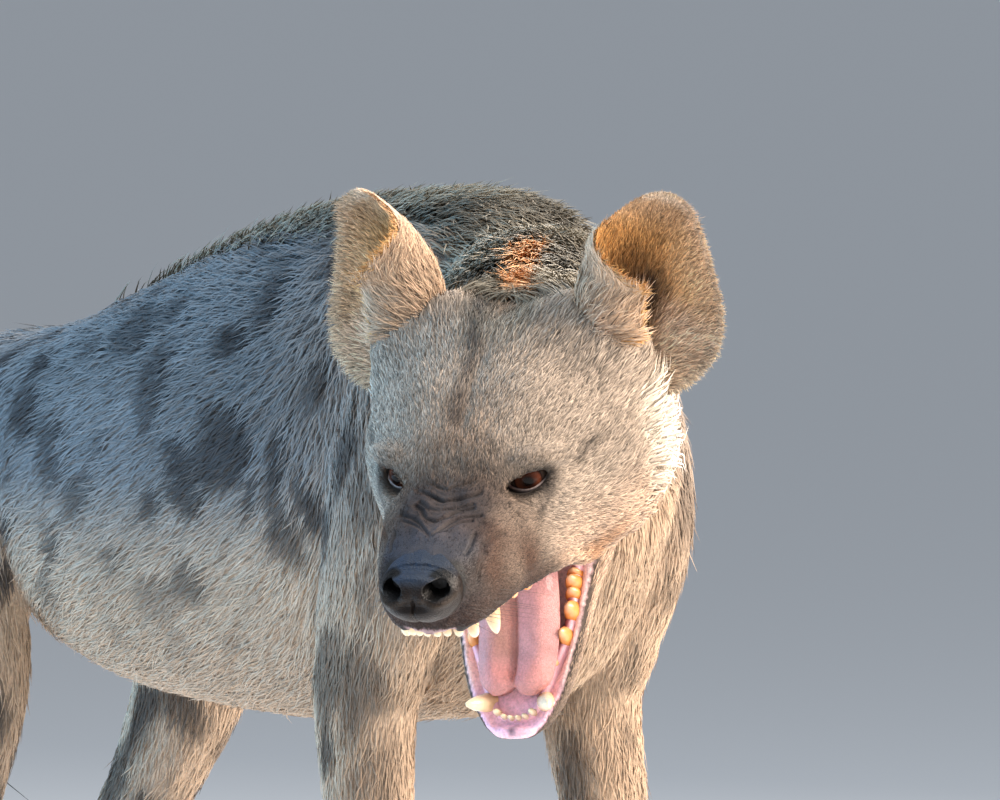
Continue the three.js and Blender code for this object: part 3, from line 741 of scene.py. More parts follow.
def faceRelief(local):
    # how far the skin rises along its normal: mounds, creases with puffed edges and the forehead's furrow
    rise = np.zeros(len(local))
    x, y, z = local.T
    folded = np.abs(x)
    for mx, my, mz, radius, height in mounds:
        far = (folded - mx) ** 2 + (y - my) ** 2 + (z - mz) ** 2
        rise += height * np.exp(-far / radius ** 2)
    cut, puff = faceCreases(local)
    rise += 0.45 * puff - cut
    rise += 0.5 * ripple(local, 6) * soft(folded, 46, 32) * soft(y, 100, 84) * soft(z, 44, 58)
    rise -= 1.6 * bell(x, 5) * soft(y, 104, 124) * soft(y, 210, 170) * soft(z, 60, 80)
    return rise


points = designPoints(skin.data)
triangles = trianglesOf(skin.data)
normals = normalsOf(points, triangles)
local = worldToHead(points)


def insideOf(body, local, samples=40):
    # the least section measure: 1 on the form's surface, under 1 inside it
    share = np.linspace(0, 1, samples)
    middle, along, side, lift, reach = framesOf(body, share)
    best = np.full(len(local), 9.0)
    for k in range(samples):
        d = local - middle[k]
        s, u = d @ side[k], d @ lift[k]
        high = np.where(u > 0, reach[k, 1], reach[k, 2])
        q = body["square"]
        measure = (np.abs(s / reach[k, 0]) ** q + np.abs(u / high) ** q) ** (1 / q)
        best = np.minimum(best, np.hypot(measure, d @ along[k] / 14))
    return best


def mouthMeasure(local):
    # under about 1 in the mouth's hollow
    measure = np.minimum(insideOf(vault, local), insideOf(trough, headToJaw(local)))
    for share in gulletShares:
        measure = np.minimum(measure, insideOf(gullet, headToJaw(local, share), 16))
    return measure


nearHead = np.linalg.norm(local - [0, 130, 0], axis=1) < 260


def nearMeasure(measure):
    # a measure of the skin's points near the head, and a large number elsewhere
    values = np.full(len(points), 9.0)
    values[nearHead] = measure(local[nearHead])
    return values


mouth = nearMeasure(mouthMeasure)
lipEdge = (soft(mouth, 0.8, 0.95) * soft(mouth, 1.4, 1.2) * (headToJaw(local)[:, 1] < 200))[:, None]
points = mix(points, relaxed(points, edgesOf(skin.data), 14), lipEdge)
normals = normalsOf(points, triangles)
outside = soft(mouth, 1.02, 1.12)
points += normals * (faceRelief(local) * nearHead * outside)[:, None]
points[:, 2] = np.maximum(points[:, 2], 0.4)
points += normals * (0.7 * ripple(points, 60) * (~nearHead))[:, None] * (points[:, 2] > 70)[:, None]
writePoints(skin.data, points)
creased = np.where(nearHead, faceCreases(local)[0], 0)
normals = normalsOf(points, triangles)
local = worldToHead(points)
print("face shaped")


# Which form a point lies on, and where on it: each form's sections are tried, and the nearest counts
partForms = [trunk, neck, tail] + [leg["body"] for leg in legs] + [skull, jaw]
partNames = ["trunk", "neck", "tail"] + [leg["name"] for leg in legs] + ["skull", "jaw"]
trunkIndex, neckIndex, tailIndex, skullIndex, jawIndex = (
    partNames.index(name) for name in ("trunk", "neck", "tail", "skull", "jaw"))


def layOf(points):
    # part number, share along it, angle round it, and the part's direction there
    count = len(points)
    best = np.full(count, 1e9)
    part, share, angle = np.zeros(count, int), np.zeros(count), np.zeros(count)
    way = np.zeros((count, 3))
    inHead = worldToHead(points)
    turned = {skullIndex: (inHead, headTurn), jawIndex: (headToJaw(inHead), headTurn @ partTurn(1))}
    shares = np.linspace(0, 1, 26)
    for number, body in enumerate(partForms):
        here, turn = turned.get(number, (points, np.eye(3)))
        middle, along, side, lift, reach = framesOf(body, shares)
        gap = np.linalg.norm(np.gradient(middle, axis=0), axis=1)
        for k in range(len(shares)):
            d = here - middle[k]
            s, u, a = d @ side[k], d @ lift[k], d @ along[k]
            high = np.where(u > 0, reach[k, 1], reach[k, 2])
            measure = (s / reach[k, 0]) ** 2 + (u / high) ** 2 + (a / gap[k] * 0.6) ** 2
            if number == jawIndex:
                measure = measure + 0.25 * (inHead[:, 2] > -20)
            new = measure < best
            best[new] = measure[new]
            part[new] = number
            share[new] = np.clip(shares[k] + a[new] / gap[k] / 25, 0, 1)
            angle[new] = np.arctan2(u[new], s[new])
            way[new] = turn @ along[k]
    return part, share, angle, way


def onLegs(part):
    return (part > tailIndex) & (part < skullIndex)


part, share, angle, way = layOf(points)
print("skin sorted into", len(partForms), "parts")

# Markings: base colours by place, blotches of seeded places and sizes
tones = {
    "flank": paint(112, 112, 112), "buff": paint(192, 165, 138), "cream": paint(228, 208, 184),
    "mane": paint(139, 131, 115), "spot": paint(40, 38, 39), "leg": paint(130, 107, 86),
    "foot": paint(82, 68, 58), "brush": paint(46, 40, 37), "forehead": paint(160, 145, 129),
    "cheek": paint(190, 163, 140), "ruff": paint(244, 232, 214), "muzzle": paint(74, 49, 35),
    "bridge": paint(44, 37, 37), "lip": paint(52, 34, 28), "ochre": paint(212, 158, 108),
    "streak": paint(60, 53, 50), "brown": paint(146, 120, 98), "leather": paint(50, 50, 57),
    # pink: the mouth's own pink, made lighter as painted light on the lower lip band
    "corner": paint(166, 116, 74), "darkSkin": paint(30, 24, 23), "pink": paint(244, 192, 208),
    "throatRedShade": paint(140, 56, 50), "bareGrey": paint(96, 85, 84),
}
spotSet = {"seed": 11, "gap": 43, "least": 9, "most": 26, "tall": 1.5}


def layered(first, *layers):
    # one tone under others, each laid over it by a share for each point; a name stands for one of the tones
    colour = tones[first] if isinstance(first, str) else first
    for tone, share in layers:
        colour = blend(colour, tones[tone] if isinstance(tone, str) else tone, share)
    return colour


def layOutSpots():
    # centres are drawn on the skin and kept where no earlier one is near
    rng = np.random.default_rng(spotSet["seed"])
    usable = np.flatnonzero((part < skullIndex) & (part != tailIndex) & (points[:, 2] > 190))
    draws = points[rng.choice(usable, 6000)]
    kept = np.empty((0, 3))
    for place in draws:
        if len(kept) == 0 or np.linalg.norm(kept - place, axis=1).min() > spotSet["gap"]:
            kept = np.vstack([kept, place])
    size = rng.uniform(spotSet["least"], spotSet["most"], len(kept))
    return kept, size, rng.uniform(0.6, 1.0, len(kept))


spotPlaces, spotSizes, spotDepths = layOutSpots()


def spotShare(points):
    # how dark the nearest blotch is: full in its middle, ragged at its edge, taller than it is wide
    dark = np.zeros(len(points))
    ragged = 0.26 * ripple(points, 24) + 0.14 * ripple(points + 40, 9)
    points = points + 13 * np.stack(
        [ripple(points, 42), ripple(points + 70, 42), ripple(points + 140, 34)], 1)
    for place, size, depth in zip(spotPlaces, spotSizes, spotDepths):
        d = points - place
        near = np.sqrt(d[:, 0] ** 2 + d[:, 1] ** 2 + (d[:, 2] / spotSet["tall"]) ** 2) / size
        dark = np.maximum(dark, depth * soft(near + ragged, 1.2, 0.7))
    return dark


def bodyColour(points, part, share, angle):
    # grey flanks, buff below, a pale throat, a grey mane, brown feet, a dark tail, and blotches over them
    y, z = points[:, 1], points[:, 2]
    up = np.sin(angle)
    onTrunk, onNeck, onTail, onLeg = part == trunkIndex, part == neckIndex, part == tailIndex, onLegs(part)
    topLine = soft(up, 0.9, 0.985) * onTrunk * soft(share, 0.75, 0.4) + soft(up, 0.6, 0.88) * onNeck
    fade = np.where(
        onNeck, 0.4 * soft(share, 0.95, 0.6), mix(0.6, 1, soft(y, -300, -180))) * soft(z, 190, 330)
    fade = fade * (1 - topLine * 0.7) * np.where(onTrunk, soft(up, -0.92, -0.5), 1.0) * (~onTail)
    colour = layered(
        "flank",
        ("buff", np.where(onLeg, soft(z, 640, 470), soft(up, 0.1, -0.7)) * 0.85),
        ("buff", soft(y, -120, -330) * 0.5),
        ("cream", onNeck * soft(up, 0.75, 0.1) * soft(share, 0.2, 0.7) * 0.95),
        ("mane", np.clip(topLine, 0, 1) * 0.8),
        ("leg", onLeg * soft(z, 380, 180)),
        ("foot", onLeg * soft(z, 120, 40)),
        ("brush", onTail * soft(share, 0.35, 0.6)),
        ("spot", np.clip(spotShare(points) * fade, 0, 1) * 0.9),
    )
    return colour * (1 + 0.1 * ripple(points, 45) + 0.06 * ripple(points, 11))[:, None]


def ochrePatch(local):
    # the rusty patch on the nape, between the ears and a little to the right
    x, y, z = local.T
    across = np.abs(x + 0.28 * (y - 240) - 4)
    return soft(across, 15, 9) * soft(y, 244, 258) * soft(y, 398, 370) * soft(z, 70, 95)


def headColour(points, part):
    # a buff brow with a dark streak, a dark muzzle and bridge, a pale ruff, dark skin at the eyes, and
    # the jaw's tones
    local = worldToHead(points)
    x, y, z = local.T
    folded = np.abs(x)
    line = x - np.interp(y, [100, 117, 158, 176, 191, 212, 249], [-4, -6, -8, -8, -13, -17, -16])
    streak = (bell(line, mix(6, 9, soft(y, 190, 230))) * soft(y, 100, 125)
              * soft(y, 256, 236) * soft(z, 70, 90))
    streak = np.clip(streak * (0.75 + 0.3 * ripple(local, 9)), 0, 1)
    muzzle = np.clip(soft(y, 124, 70) * (0.82 + 0.25 * ripple(local, 18)), 0, 1)
    bridge = soft(y, 96, 72) * soft(folded, 44, 26) * soft(z, 38, 54) * (0.95 + 0.2 * ripple(local, 14))
    fromEye = np.linalg.norm((np.stack([folded, y, z], 1) - eye) * [1, 1, 1.25], axis=1)
    behind = bell(z - eye[2] - 0.28 * (y - eye[1]) - 1, 4) * soft(y, 126, 134) * soft(y, 168, 146)
    before = (bell(z - eye[2] - 0.9 * (y - eye[1]) - 2, 4.5)
              * soft(y, 114, 108) * soft(y, 88, 98) * soft(folded, 22, 30))
    colour = layered(
        "forehead",
        ("cheek", soft(z, 60, 10) * soft(y, 90, 130)),
        ("mane", soft(z, 118, 150) * soft(folded, 34, 12) * soft(y, 170, 215) * 0.9),
        ("ochre", ochrePatch(local) * 0.95),
        ("brown", bell(x, 24) * soft(y, 92, 104) * soft(y, 160, 122) * soft(z, 60, 80) * 0.6),
        ("streak", streak * 0.9),
        ("brown", bell(x + 1, 8) * soft(y, 200, 220) * soft(z, 70, 90) * 0.7),
        ("muzzle", muzzle * 0.95),
        ("bridge", np.clip(bridge, 0, 1) * 0.95),
        ("bareGrey", bell(x - 13, 13) * bell(y - 36, 16) * soft(z, 46, 58) * 0.5),
        ("bridge", soft(y, 36, 18) * soft(z, 4, 26) * 0.85),
        ("leather", soft(y, 52, 26) * soft(z, 44, 56) * 0.8),
        ("lip", soft(z, 24, 4) * soft(y, 140, 96) * 0.8),
        ("lip", soft(z, 34, 18) * soft(y, 64, 34) * 0.6),
        ("corner", bell(y - 168, 18) * soft(z, 18, -4) * 0.65),
        ("ruff", soft(y, 194, 228) * soft(z, 98, 82) * soft(z, 0, 30) * 0.95),
        ("darkSkin", soft(fromEye, 28, 18) * 0.8),
        ("darkSkin", np.maximum(behind * 0.6, before * 0.55) * soft(folded, 30, 40)),
    )
    inJaw = headToJaw(local)
    jawTone = layered(
        "cheek",
        ("streak", soft(inJaw[:, 1], 110, 30) * 0.7),
        ("ochre", bell(inJaw[:, 1] - 165, 30) * soft(inJaw[:, 2], -30, -12) * 0.5),
    )
    colour = np.where((part == jawIndex)[:, None], jawTone, colour)
    return colour * (1 + 0.1 * ripple(local, 24) + 0.1 * ripple(local, 6))[:, None]


def coatColour(points, part, share, angle):
    # the head's colours give way to the body's behind the nape
    onHead = part >= skullIndex
    local = worldToHead(points)
    rim = soft(local[:, 1], 300, 262)
    nape = (np.linalg.norm(local - [0, 200, 40], axis=1) < 190) & (part == neckIndex)
    front = np.where(onHead, mix(0.35, 1, rim), np.where(nape, 0.65 * rim, 0.0))
    body = bodyColour(points, np.where(onHead, neckIndex, part), share, angle)
    return mix(body, headColour(points, part), front[:, None])


hx, hy, hz = np.abs(local[:, 0]), local[:, 1], local[:, 2]
chin = headToJaw(local)
onJaw = part == jawIndex
underLip = nearMeasure(lambda p: insideOf(skull, p))
overChin = nearMeasure(lambda p: insideOf(jaw, headToJaw(p)))
margin = np.where(onJaw & (underLip > 0.97), soft(overChin, 1.02, 0.95), soft(underLip, 0.88, 0.76))
inMouth = soft(mouth, 1.1, 1.03) * margin
lipBand = soft(mouth, 1.3, 1.16) * (1 - inMouth) * nearHead
deep = soft(np.where(nearHead, chin[:, 1], 0), 160, 212)
tint = layered(
    coatColour(points, part, share, angle),
    ("darkSkin", lipBand * 0.9),
    ("pink", inMouth),
    (paint(250, 214, 206), inMouth * soft(chin[:, 1], 40, 60)),
    (paint(60, 40, 44), onJaw * bell(chin[:, 0], 3) * bell(chin[:, 1] - 17, 4) * 0.8),
    ("lip", inMouth * soft(hy, 20, 13) * (hz > -2) * 0.9),
)
nearNostril = np.linalg.norm(np.stack([hx - 15, hy - 8, hz - 42], 1), axis=1)
tint = layered(
    # painted shade: the skin darker in the snarl's creases, the more the deeper they cut
    tint * (1 - 0.42 * np.clip(creased / 2.6, 0, 1))[:, None],
    # painted shade: a darker red deeper in the mouth, partly the throat's own red
    ("throatRedShade", inMouth * deep * 0.8),
    # painted shade: the skin near black round and behind the nostrils, where their holes look in
    (paint(8, 6, 6), soft(nearNostril, 20, 15) * soft(hz, 56, 51)),
)
setAttribute(skin, "tint", tint)
setAttribute(skin, "wet", np.maximum(inMouth, 0.5 * nearHead * soft(hy, 60, 24)))
print("skin coloured, blotches:", len(spotPlaces))


# Materials, all worked out by nodes

def material(name, rough=0.7, specular=0.4, coatGloss=0.0, subsurface=0.0):
    # a Principled finish; light soaks in a few millimetres where it has some subsurface
    made = bpy.data.materials.new(name)
    made.use_nodes = True
    nodes, links = made.node_tree.nodes, made.node_tree.links
    shader = nodes["Principled BSDF"]
    shader.inputs["Roughness"].default_value = rough
    shader.inputs["Specular IOR Level"].default_value = specular
    shader.inputs["Coat Weight"].default_value = coatGloss
    shader.inputs["Coat Roughness"].default_value = 0.04
    if subsurface:
        shader.inputs["Subsurface Weight"].default_value = subsurface
        shader.inputs["Subsurface Radius"].default_value = (0.004, 0.0015, 0.001)
    return made, nodes, links, shader


def texture(nodes, links, kind, scale, detail=3.0):
    # noise or Voronoi on the object's own coordinates, which are the frame's
    place = nodes.new("ShaderNodeTexCoord").outputs["Object"]
    made = nodes.new("ShaderNodeTex" + kind)
    made.inputs["Scale"].default_value = scale
    if kind == "Noise":
        made.inputs["Detail"].default_value = detail
    links.new(place, made.inputs["Vector"])
    return made.outputs["Fac" if kind == "Noise" else "Distance"]


def attributeOut(nodes, name, output="Color"):
    made = nodes.new("ShaderNodeAttribute")
    made.attribute_name = name
    return made.outputs[output]


def shaded(nodes, links, colour, pattern, low, high):
    # the colour darkened and lightened by a pattern
    spread = nodes.new("ShaderNodeMapRange")
    spread.inputs["From Min"].default_value = 0.3
    spread.inputs["From Max"].default_value = 0.7
    spread.inputs["To Min"].default_value = low
    spread.inputs["To Max"].default_value = high
    links.new(pattern, spread.inputs["Value"])
    scaled = nodes.new("ShaderNodeVectorMath")
    scaled.operation = "SCALE"
    links.new(colour, scaled.inputs[0])
    links.new(spread.outputs["Result"], scaled.inputs["Scale"])
    return scaled.outputs["Vector"]


def bumped(nodes, links, shader, height, distance, strength=1.0):
    # small relief from a pattern, its depth in metres
    bump = nodes.new("ShaderNodeBump")
    bump.inputs["Distance"].default_value = distance
    bump.inputs["Strength"].default_value = strength
    links.new(height, bump.inputs["Height"])
    links.new(bump.outputs["Normal"], shader.inputs["Normal"])


def rangeOf(nodes, links, value, low, high):
    # 0 to 1 carried to low to high
    spread = nodes.new("ShaderNodeMapRange")
    spread.inputs["To Min"].default_value = low
    spread.inputs["To Max"].default_value = high
    links.new(value, spread.inputs["Value"])
    return spread.outputs["Result"]


def skinMaterial():
    # the skin's own colours, mottled, and glossier where it is wet
    made, nodes, links, shader = material("skin", subsurface=0.04)
    colour = shaded(nodes, links, attributeOut(nodes, "tint"), texture(nodes, links, "Noise", 420), 0.78, 1.2)
    links.new(colour, shader.inputs["Base Color"])
    links.new(rangeOf(nodes, links, attributeOut(nodes, "wet", "Fac"), 0.78, 0.3), shader.inputs["Roughness"])
    bumped(nodes, links, shader, texture(nodes, links, "Noise", 900, 2), 0.0006)
    return made


def tintMaterial(name, scale, low, high, distance, **finish):
    # a finish that takes its colour from the piece's own attribute
    made, nodes, links, shader = material(name, **finish)
    colour = shaded(nodes, links, attributeOut(nodes, "tint"),
                    texture(nodes, links, "Noise", scale), low, high)
    links.new(colour, shader.inputs["Base Color"])
    if distance:
        bumped(nodes, links, shader, texture(nodes, links, "Noise", scale * 2), distance)
    return made


def noseMaterial():
    # leather of small pebbles, with a moist sheen
    made, nodes, links, shader = material("nose leather", rough=0.42, specular=0.24, coatGloss=0.06)
    pebble = texture(nodes, links, "Voronoi", 900)
    colour = shaded(nodes, links, attributeOut(nodes, "tint"), pebble, 1.1, 0.7)
    links.new(colour, shader.inputs["Base Color"])
    bumped(nodes, links, shader, pebble, -0.0005, 0.8)
    return made


looks = {
    "skin": skinMaterial(),
    "fur": tintMaterial("fur", 300, 0.85, 1.12, 0, rough=0.62, specular=0.25),
    "nose": noseMaterial(),
    "gum": tintMaterial("gum", 260, 0.85, 1.12, 0.0006,
                        rough=0.28, specular=0.5, coatGloss=0.3, subsurface=0.15),
    "tongue": tintMaterial("tongue", 620, 0.8, 1.14, 0.0009, rough=0.36, specular=0.5, coatGloss=0.2,
                           subsurface=0.15),
    "tooth": tintMaterial("tooth enamel", 240, 0.9, 1.08, 0.0002, rough=0.22, specular=0.5, coatGloss=0.3),
    "eye": tintMaterial("wet eye", 500, 0.85, 1.15, 0, rough=0.2, specular=0.05, coatGloss=0.12),
    "lid": tintMaterial("lid skin", 500, 0.75, 1.15, 0.0006, rough=0.4, specular=0.5),
    "claw": tintMaterial("claw horn", 200, 0.8, 1.2, 0.0003, rough=0.4, specular=0.5),
}


def finished(piece, look, slot, *nodes):
    # material and body of a piece, and the frame's nodes that it stands for; the record slot is not used
    piece.data.materials.clear()
    piece.data.materials.append(looks[look])
    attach(piece, "root")
    if nodes:
        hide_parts(*nodes)
    return piece


fleshNodes = ["head", "lower_jaw", "neck", "torso", "tail"]
for end in ("fore", "hind"):
    for side in ("left", "right"):
        fleshNodes += [f"upper_{end}leg_{side}", f"lower_{end}leg_{side}", f"{end}paw_{side}"]
finished(skin, "skin", "coat", *fleshNodes)

# Eyes: a globe coloured by the angle from its gaze
irisSet = {"pupil": 0.2, "iris": 0.6, "limbus": 0.68}


def makeEye(name, flip):
    # a globe that swells at the cornea, with fibres round the iris
    lat, lon = np.meshgrid(
        np.linspace(0.002, math.pi - 0.02, 64), np.arange(72) / 72 * 2 * np.pi, indexing="ij")
    swell = 1 + 0.055 * soft(lat, 0.62, 0.2)
    globe = (np.sin(lat) * np.cos(lon))[..., None] * eyeOut + (np.sin(lat) * np.sin(lon))[..., None] * eyeLift
    globe = (globe + np.cos(lat)[..., None] * gaze) * (eyeSet["radius"] * swell)[..., None] + eyeCentre
    points, faces = tube(globe)
    off = np.append(lat.ravel(), [0, math.pi])
    fibre = 1 + 0.22 * np.sin(np.append(lon.ravel(), [0, 0]) * 27) * np.sin(off * 30)
    limbus, pupil = irisSet["limbus"], irisSet["pupil"]
    colour = layered(
        paint(60, 48, 42),
        (paint(20, 14, 12), soft(off, limbus + 0.08, limbus)),
        (paint(80, 42, 28), soft(off, limbus, irisSet["iris"])),
    )
    colour = layered(
        colour * fibre[:, None],
        (paint(52, 28, 20), soft(off, 0.5, 0.3)),
        (paint(12, 7, 6), soft(off, pupil + 0.12, pupil - 0.04)),
    )
    return finished(headPiece(name + "_globe", (points, faces), colour, flip), "eye", "eye", name)


def makeLids(name, flip):
    # a ring from the wet margin over the lid to under the face's skin, with the upper lid's fold
    s, a = np.meshgrid(np.linspace(0, 1, 22), np.arange(120) / 120 * 2 * np.pi, indexing="ij")
    out = np.array([0, 0.6, 1.4, 3, 5.5, 9.5, 14])
    rise = np.array([-0.6, 1.1, 1.9, 2.3, 2.0, 0.2, -5.0])
    steps = np.linspace(0, 1, len(out))
    wider, higher = np.interp(s, steps, out), np.interp(s, steps, rise)
    x, y = almond(a, wider * 0.85, wider)
    upper = np.sin(a) > 0
    higher = higher + np.where(upper, 1.2 * bell(s - 0.45, 0.12) - 1.0 * bell(s - 0.62, 0.05), 0)
    higher = higher + np.where(upper, 0, 0.5 * bell(s - 0.4, 0.1) - 0.5 * bell(s - 0.56, 0.05))
    flat = np.hypot(x, y)
    radius = eyeSet["radius"]
    depth = np.sqrt(np.maximum(radius ** 2 - np.minimum(flat, radius * 0.93) ** 2, 1))
    depth = depth - np.maximum(flat - radius * 0.93, 0) * 1.15
    ray = unit(np.stack([x, y, np.maximum(depth, 4)], -1))
    spot = np.stack([x, y, depth], -1) + ray * higher[..., None]
    points = eyeCentre + spot[..., :1] * eyeOut + spot[..., 1:2] * eyeLift + spot[..., 2:] * gaze
    m, n = points.shape[:2]
    i, j = np.meshgrid(np.arange(m - 1), np.arange(n), indexing="ij")
    first, second = i * n + j, i * n + (j + 1) % n
    faces = np.stack([first, second, second + n, first + n], -1).reshape(-1, 4)
    s, upper = s.ravel(), upper.ravel()
    points = points.reshape(-1, 3)
    colour = layered(
        paint(50, 40, 37),
        (paint(84, 68, 60), soft(s, 0.5, 0.9)),
        # a pale band along the wet margin, mostly on the lower lid: partly the margin's own paler skin, partly
        # a painted highlight of its wetness
        (paint(186, 166, 158), bell(s - 0.15, 0.07) * np.where(upper, 0.15, 0.8)),
        (paint(150, 104, 96), soft(x.ravel(), -9, -13) * soft(s, 0.35, 0.1) * 0.7),
    )
    return finished(headPiece(name, (points, faces), colour, flip), "lid", "coat")


for name, flip in (("eye_left", False), ("eye_right", True)):
    makeEye(name, flip)
    makeLids(name.replace("eye", "lids"), flip)
print("eyes made")

# Nose: the leather pad with its nostrils carved in
noseSet = {"voxel": 0.9, "boreVoxel": 0.7, "groove": 2.0, "rim": 1.0, "pebbles": 0.25}
nosePad = form([
    [0, -14, 43, 10, 6, 7],
    [0, -11, 42, 19, 12, 14],
    [0, -4, 38, 26, 17, 20],
    [0, 6, 36, 29, 20.5, 22],
    [0, 18, 40, 27, 19, 20],
    [0, 30, 45, 21, 15, 13],
    [0, 42, 49, 12, 5, 8],
], sideways, 2.3)
nostril = form([
    [17.8, -22, 42.5, 10.5, 7.4, 7],
    [17.2, -9, 42.5, 9.2, 6.6, 6.2],
    [15.5, 0, 42.5, 6.5, 5, 5],
    [13, 10, 42, 3, 3, 3],
], sideways)
wing = form([
    [19, -14, 38, 3, 3.5, 3],
    [25, -8, 36.5, 2.6, 3.5, 2.6],
    [30, 0, 40, 2.4, 3, 2.4],
    [32, 8, 47, 2.0, 2.6, 2.2],
    [29.5, 17, 54, 1.4, 2, 1.6],
])


def makeNose():
    # the pad less its nostrils, with a groove down the middle and a rim round each nostril
    points, faces = placed(loft(nosePad, 60, 90), headToWorld)
    solid = meshPiece("nose_leather", metres(points), faces)
    holes = [loft(nostril, 24, 28), loft(wing, 40, 16)]
    points, faces = placed(together(holes + [mirrored(part) for part in holes]), headToWorld)
    bore = meshPiece("bore", metres(points), faces)
    voxelRemesh(bore, noseSet["boreVoxel"])
    applied(bore)
    voxelRemesh(solid, noseSet["voxel"])
    carved(solid, bore, noseSet["voxel"])
    points = relaxed(designPoints(solid.data), edgesOf(solid.data), 3)
    normals = normalsOf(points, trianglesOf(solid.data))
    x, y, z = worldToHead(points).T
    across = np.abs(x)
    groove = bell(x, 1.3) * soft(z, 41, 34) * noseSet["groove"]
    rim = (bell(np.hypot(across - 17, (z - 42) * 1.35) - 12.5, 3)
           * soft(y, 8, -2) * soft(z, 46, 38) * noseSet["rim"])
    points += normals * (rim - groove + noseSet["pebbles"] * ripple(worldToHead(points), 5))[:, None]
    writePoints(solid.data, points)
    hole = insideOf(nostril, worldToHead(points) * np.where(x < 0, -1, 1)[:, None] ** [1, 0, 0], 16)
    shaft = soft(y, -9, -3) * soft(np.hypot(across - 16, z - 42.5), 11.5, 9)
    setAttribute(solid, "tint", layered(
        paint(27, 17, 11),
        # painted reflection: a bluish sheen over the top of the pad
        (paint(44, 54, 68), soft(z, 44, 52) * 0.9),
        # a warmer brown ring below the nostrils, partly the leather's own tone and partly a painted highlight
        # on their rims
        (paint(58, 46, 35), bell(np.hypot(across - 17, (z - 42) * 1.3) - 12, 2.5) * soft(z, 42, 34) * 0.6),
        # painted shade: the nostrils' walls near black
        (paint(6, 5, 5), np.maximum(soft(hole, 1.1, 0.98), shaft)),
    ))
    return finished(solid, "nose", "nose", "nose")


makeNose()
print("nose made")

# Teeth rows [x, y, root, tip, wide, deep]: incisors, a canine, three cheek teeth and the shearing tooth
upperRow = [
    [3.6, 12.5, 6, -3.8, 6.6, 5.5], [10.2, 14.5, 6, -4.4, 6.6, 5.5], [16.8, 19, 6, -6.5, 7, 7],
    [24.5, 27, 6, -11, 8.5, 8], [32, 46, 6, -17, 11, 12.5],
    [34, 62, 4, -3, 7, 8], [37, 77, 4, -5, 9, 13], [41, 94, 4, -7, 11, 16], [45, 115, 4, -8, 10, 24],
]
lowerRow = [
    [2.6, 27, -24, -9, 4.6, 3.8], [7.7, 28, -24, -9, 4.8, 4], [13, 31, -24, -8, 5.6, 5],
    [19, 42, -26, 4, 13, 14],
    [27, 66, -24, -11, 7, 8], [33.5, 85, -24, -5, 11, 15],
    [37, 103, -24, -6, 12.5, 17], [37, 122, -24, -7, 13, 23],
]
# Cusps [place along the tooth, share of its height, share of its depth], and how its sides narrow
toothKinds = {
    "incisor": {"cusps": [(0, 1.0, 1.0)], "sharp": 6.0, "power": 0.65},
    "canine": {"cusps": [(0, 1.0, 1.0)], "sharp": 2.6, "power": 0.65},
    "cheek": {"cusps": [(0, 1.0, 0.95), (0.36, 0.45, 0.4)], "sharp": 2.6, "power": 0.8},
    "shearing": {"cusps": [(-0.3, 0.8, 0.5), (0.05, 1.0, 0.55), (0.34, 0.7, 0.42)],
                 "sharp": 2.6, "power": 0.8},
}


def toothParts(row, kind, lean):
    # cones of elliptic rings that narrow to a blunt tip; a cheek tooth is two or three of them in a line
    x, y, root, tip, wide, deep = row
    shape = toothKinds[kind]
    out, ahead = lean
    parts, heights = [], []
    t, a = np.meshgrid(np.linspace(0, 1, 18), np.arange(20) / 20 * 2 * np.pi, indexing="ij")
    width = np.maximum((1 - t ** shape["sharp"]) ** shape["power"], 0.03)
    width = width * (1 + 0.08 * np.sin(np.minimum(t * 2, 1) * np.pi))
    for offset, tall, broad in shape["cusps"]:
        px = x + np.cos(a) * wide / 2 * width + out * t ** 1.3
        py = y + offset * deep + np.sin(a) * deep / 2 * broad * width + 0.12 * deep * t ** 2 + ahead * t
        pz = mix(root, root + (tip - root) * tall, t)
        parts.append(tube(np.stack([px, py, pz], -1)))
        heights.append(np.append(t.ravel(), [0, 1]))
    return parts, heights


def makeTeeth(name, half, node):
    # both sides of a row; only the canine leans
    rows = half["rows"]
    kinds = ["incisor"] * (len(rows) - 5) + ["canine"] + ["cheek"] * 3 + ["shearing"]
    parts, heights = [], []
    for row, kind in zip(rows, kinds):
        made, rise = toothParts(row, kind, half["lean"] if kind == "canine" else (0, 0))
        parts += made + [mirrored(part) for part in made]
        heights += rise + rise
    points, faces = together(parts)
    rise = np.concatenate(heights)
    far = soft(points[:, 1], 40, 90)
    colour = layered(
        paint(232, 212, 176),
        (paint(206, 150, 86), soft(rise, 0.8, 0.35) * mix(0.5, 0.95, far)),
        (paint(222, 140, 62), far * mix(0.5, 0.9, soft(rise, 1.0, 0.7))),
    )
    return finished(headPiece(name, (half["move"](points), faces), colour), "tooth", "teeth", node)


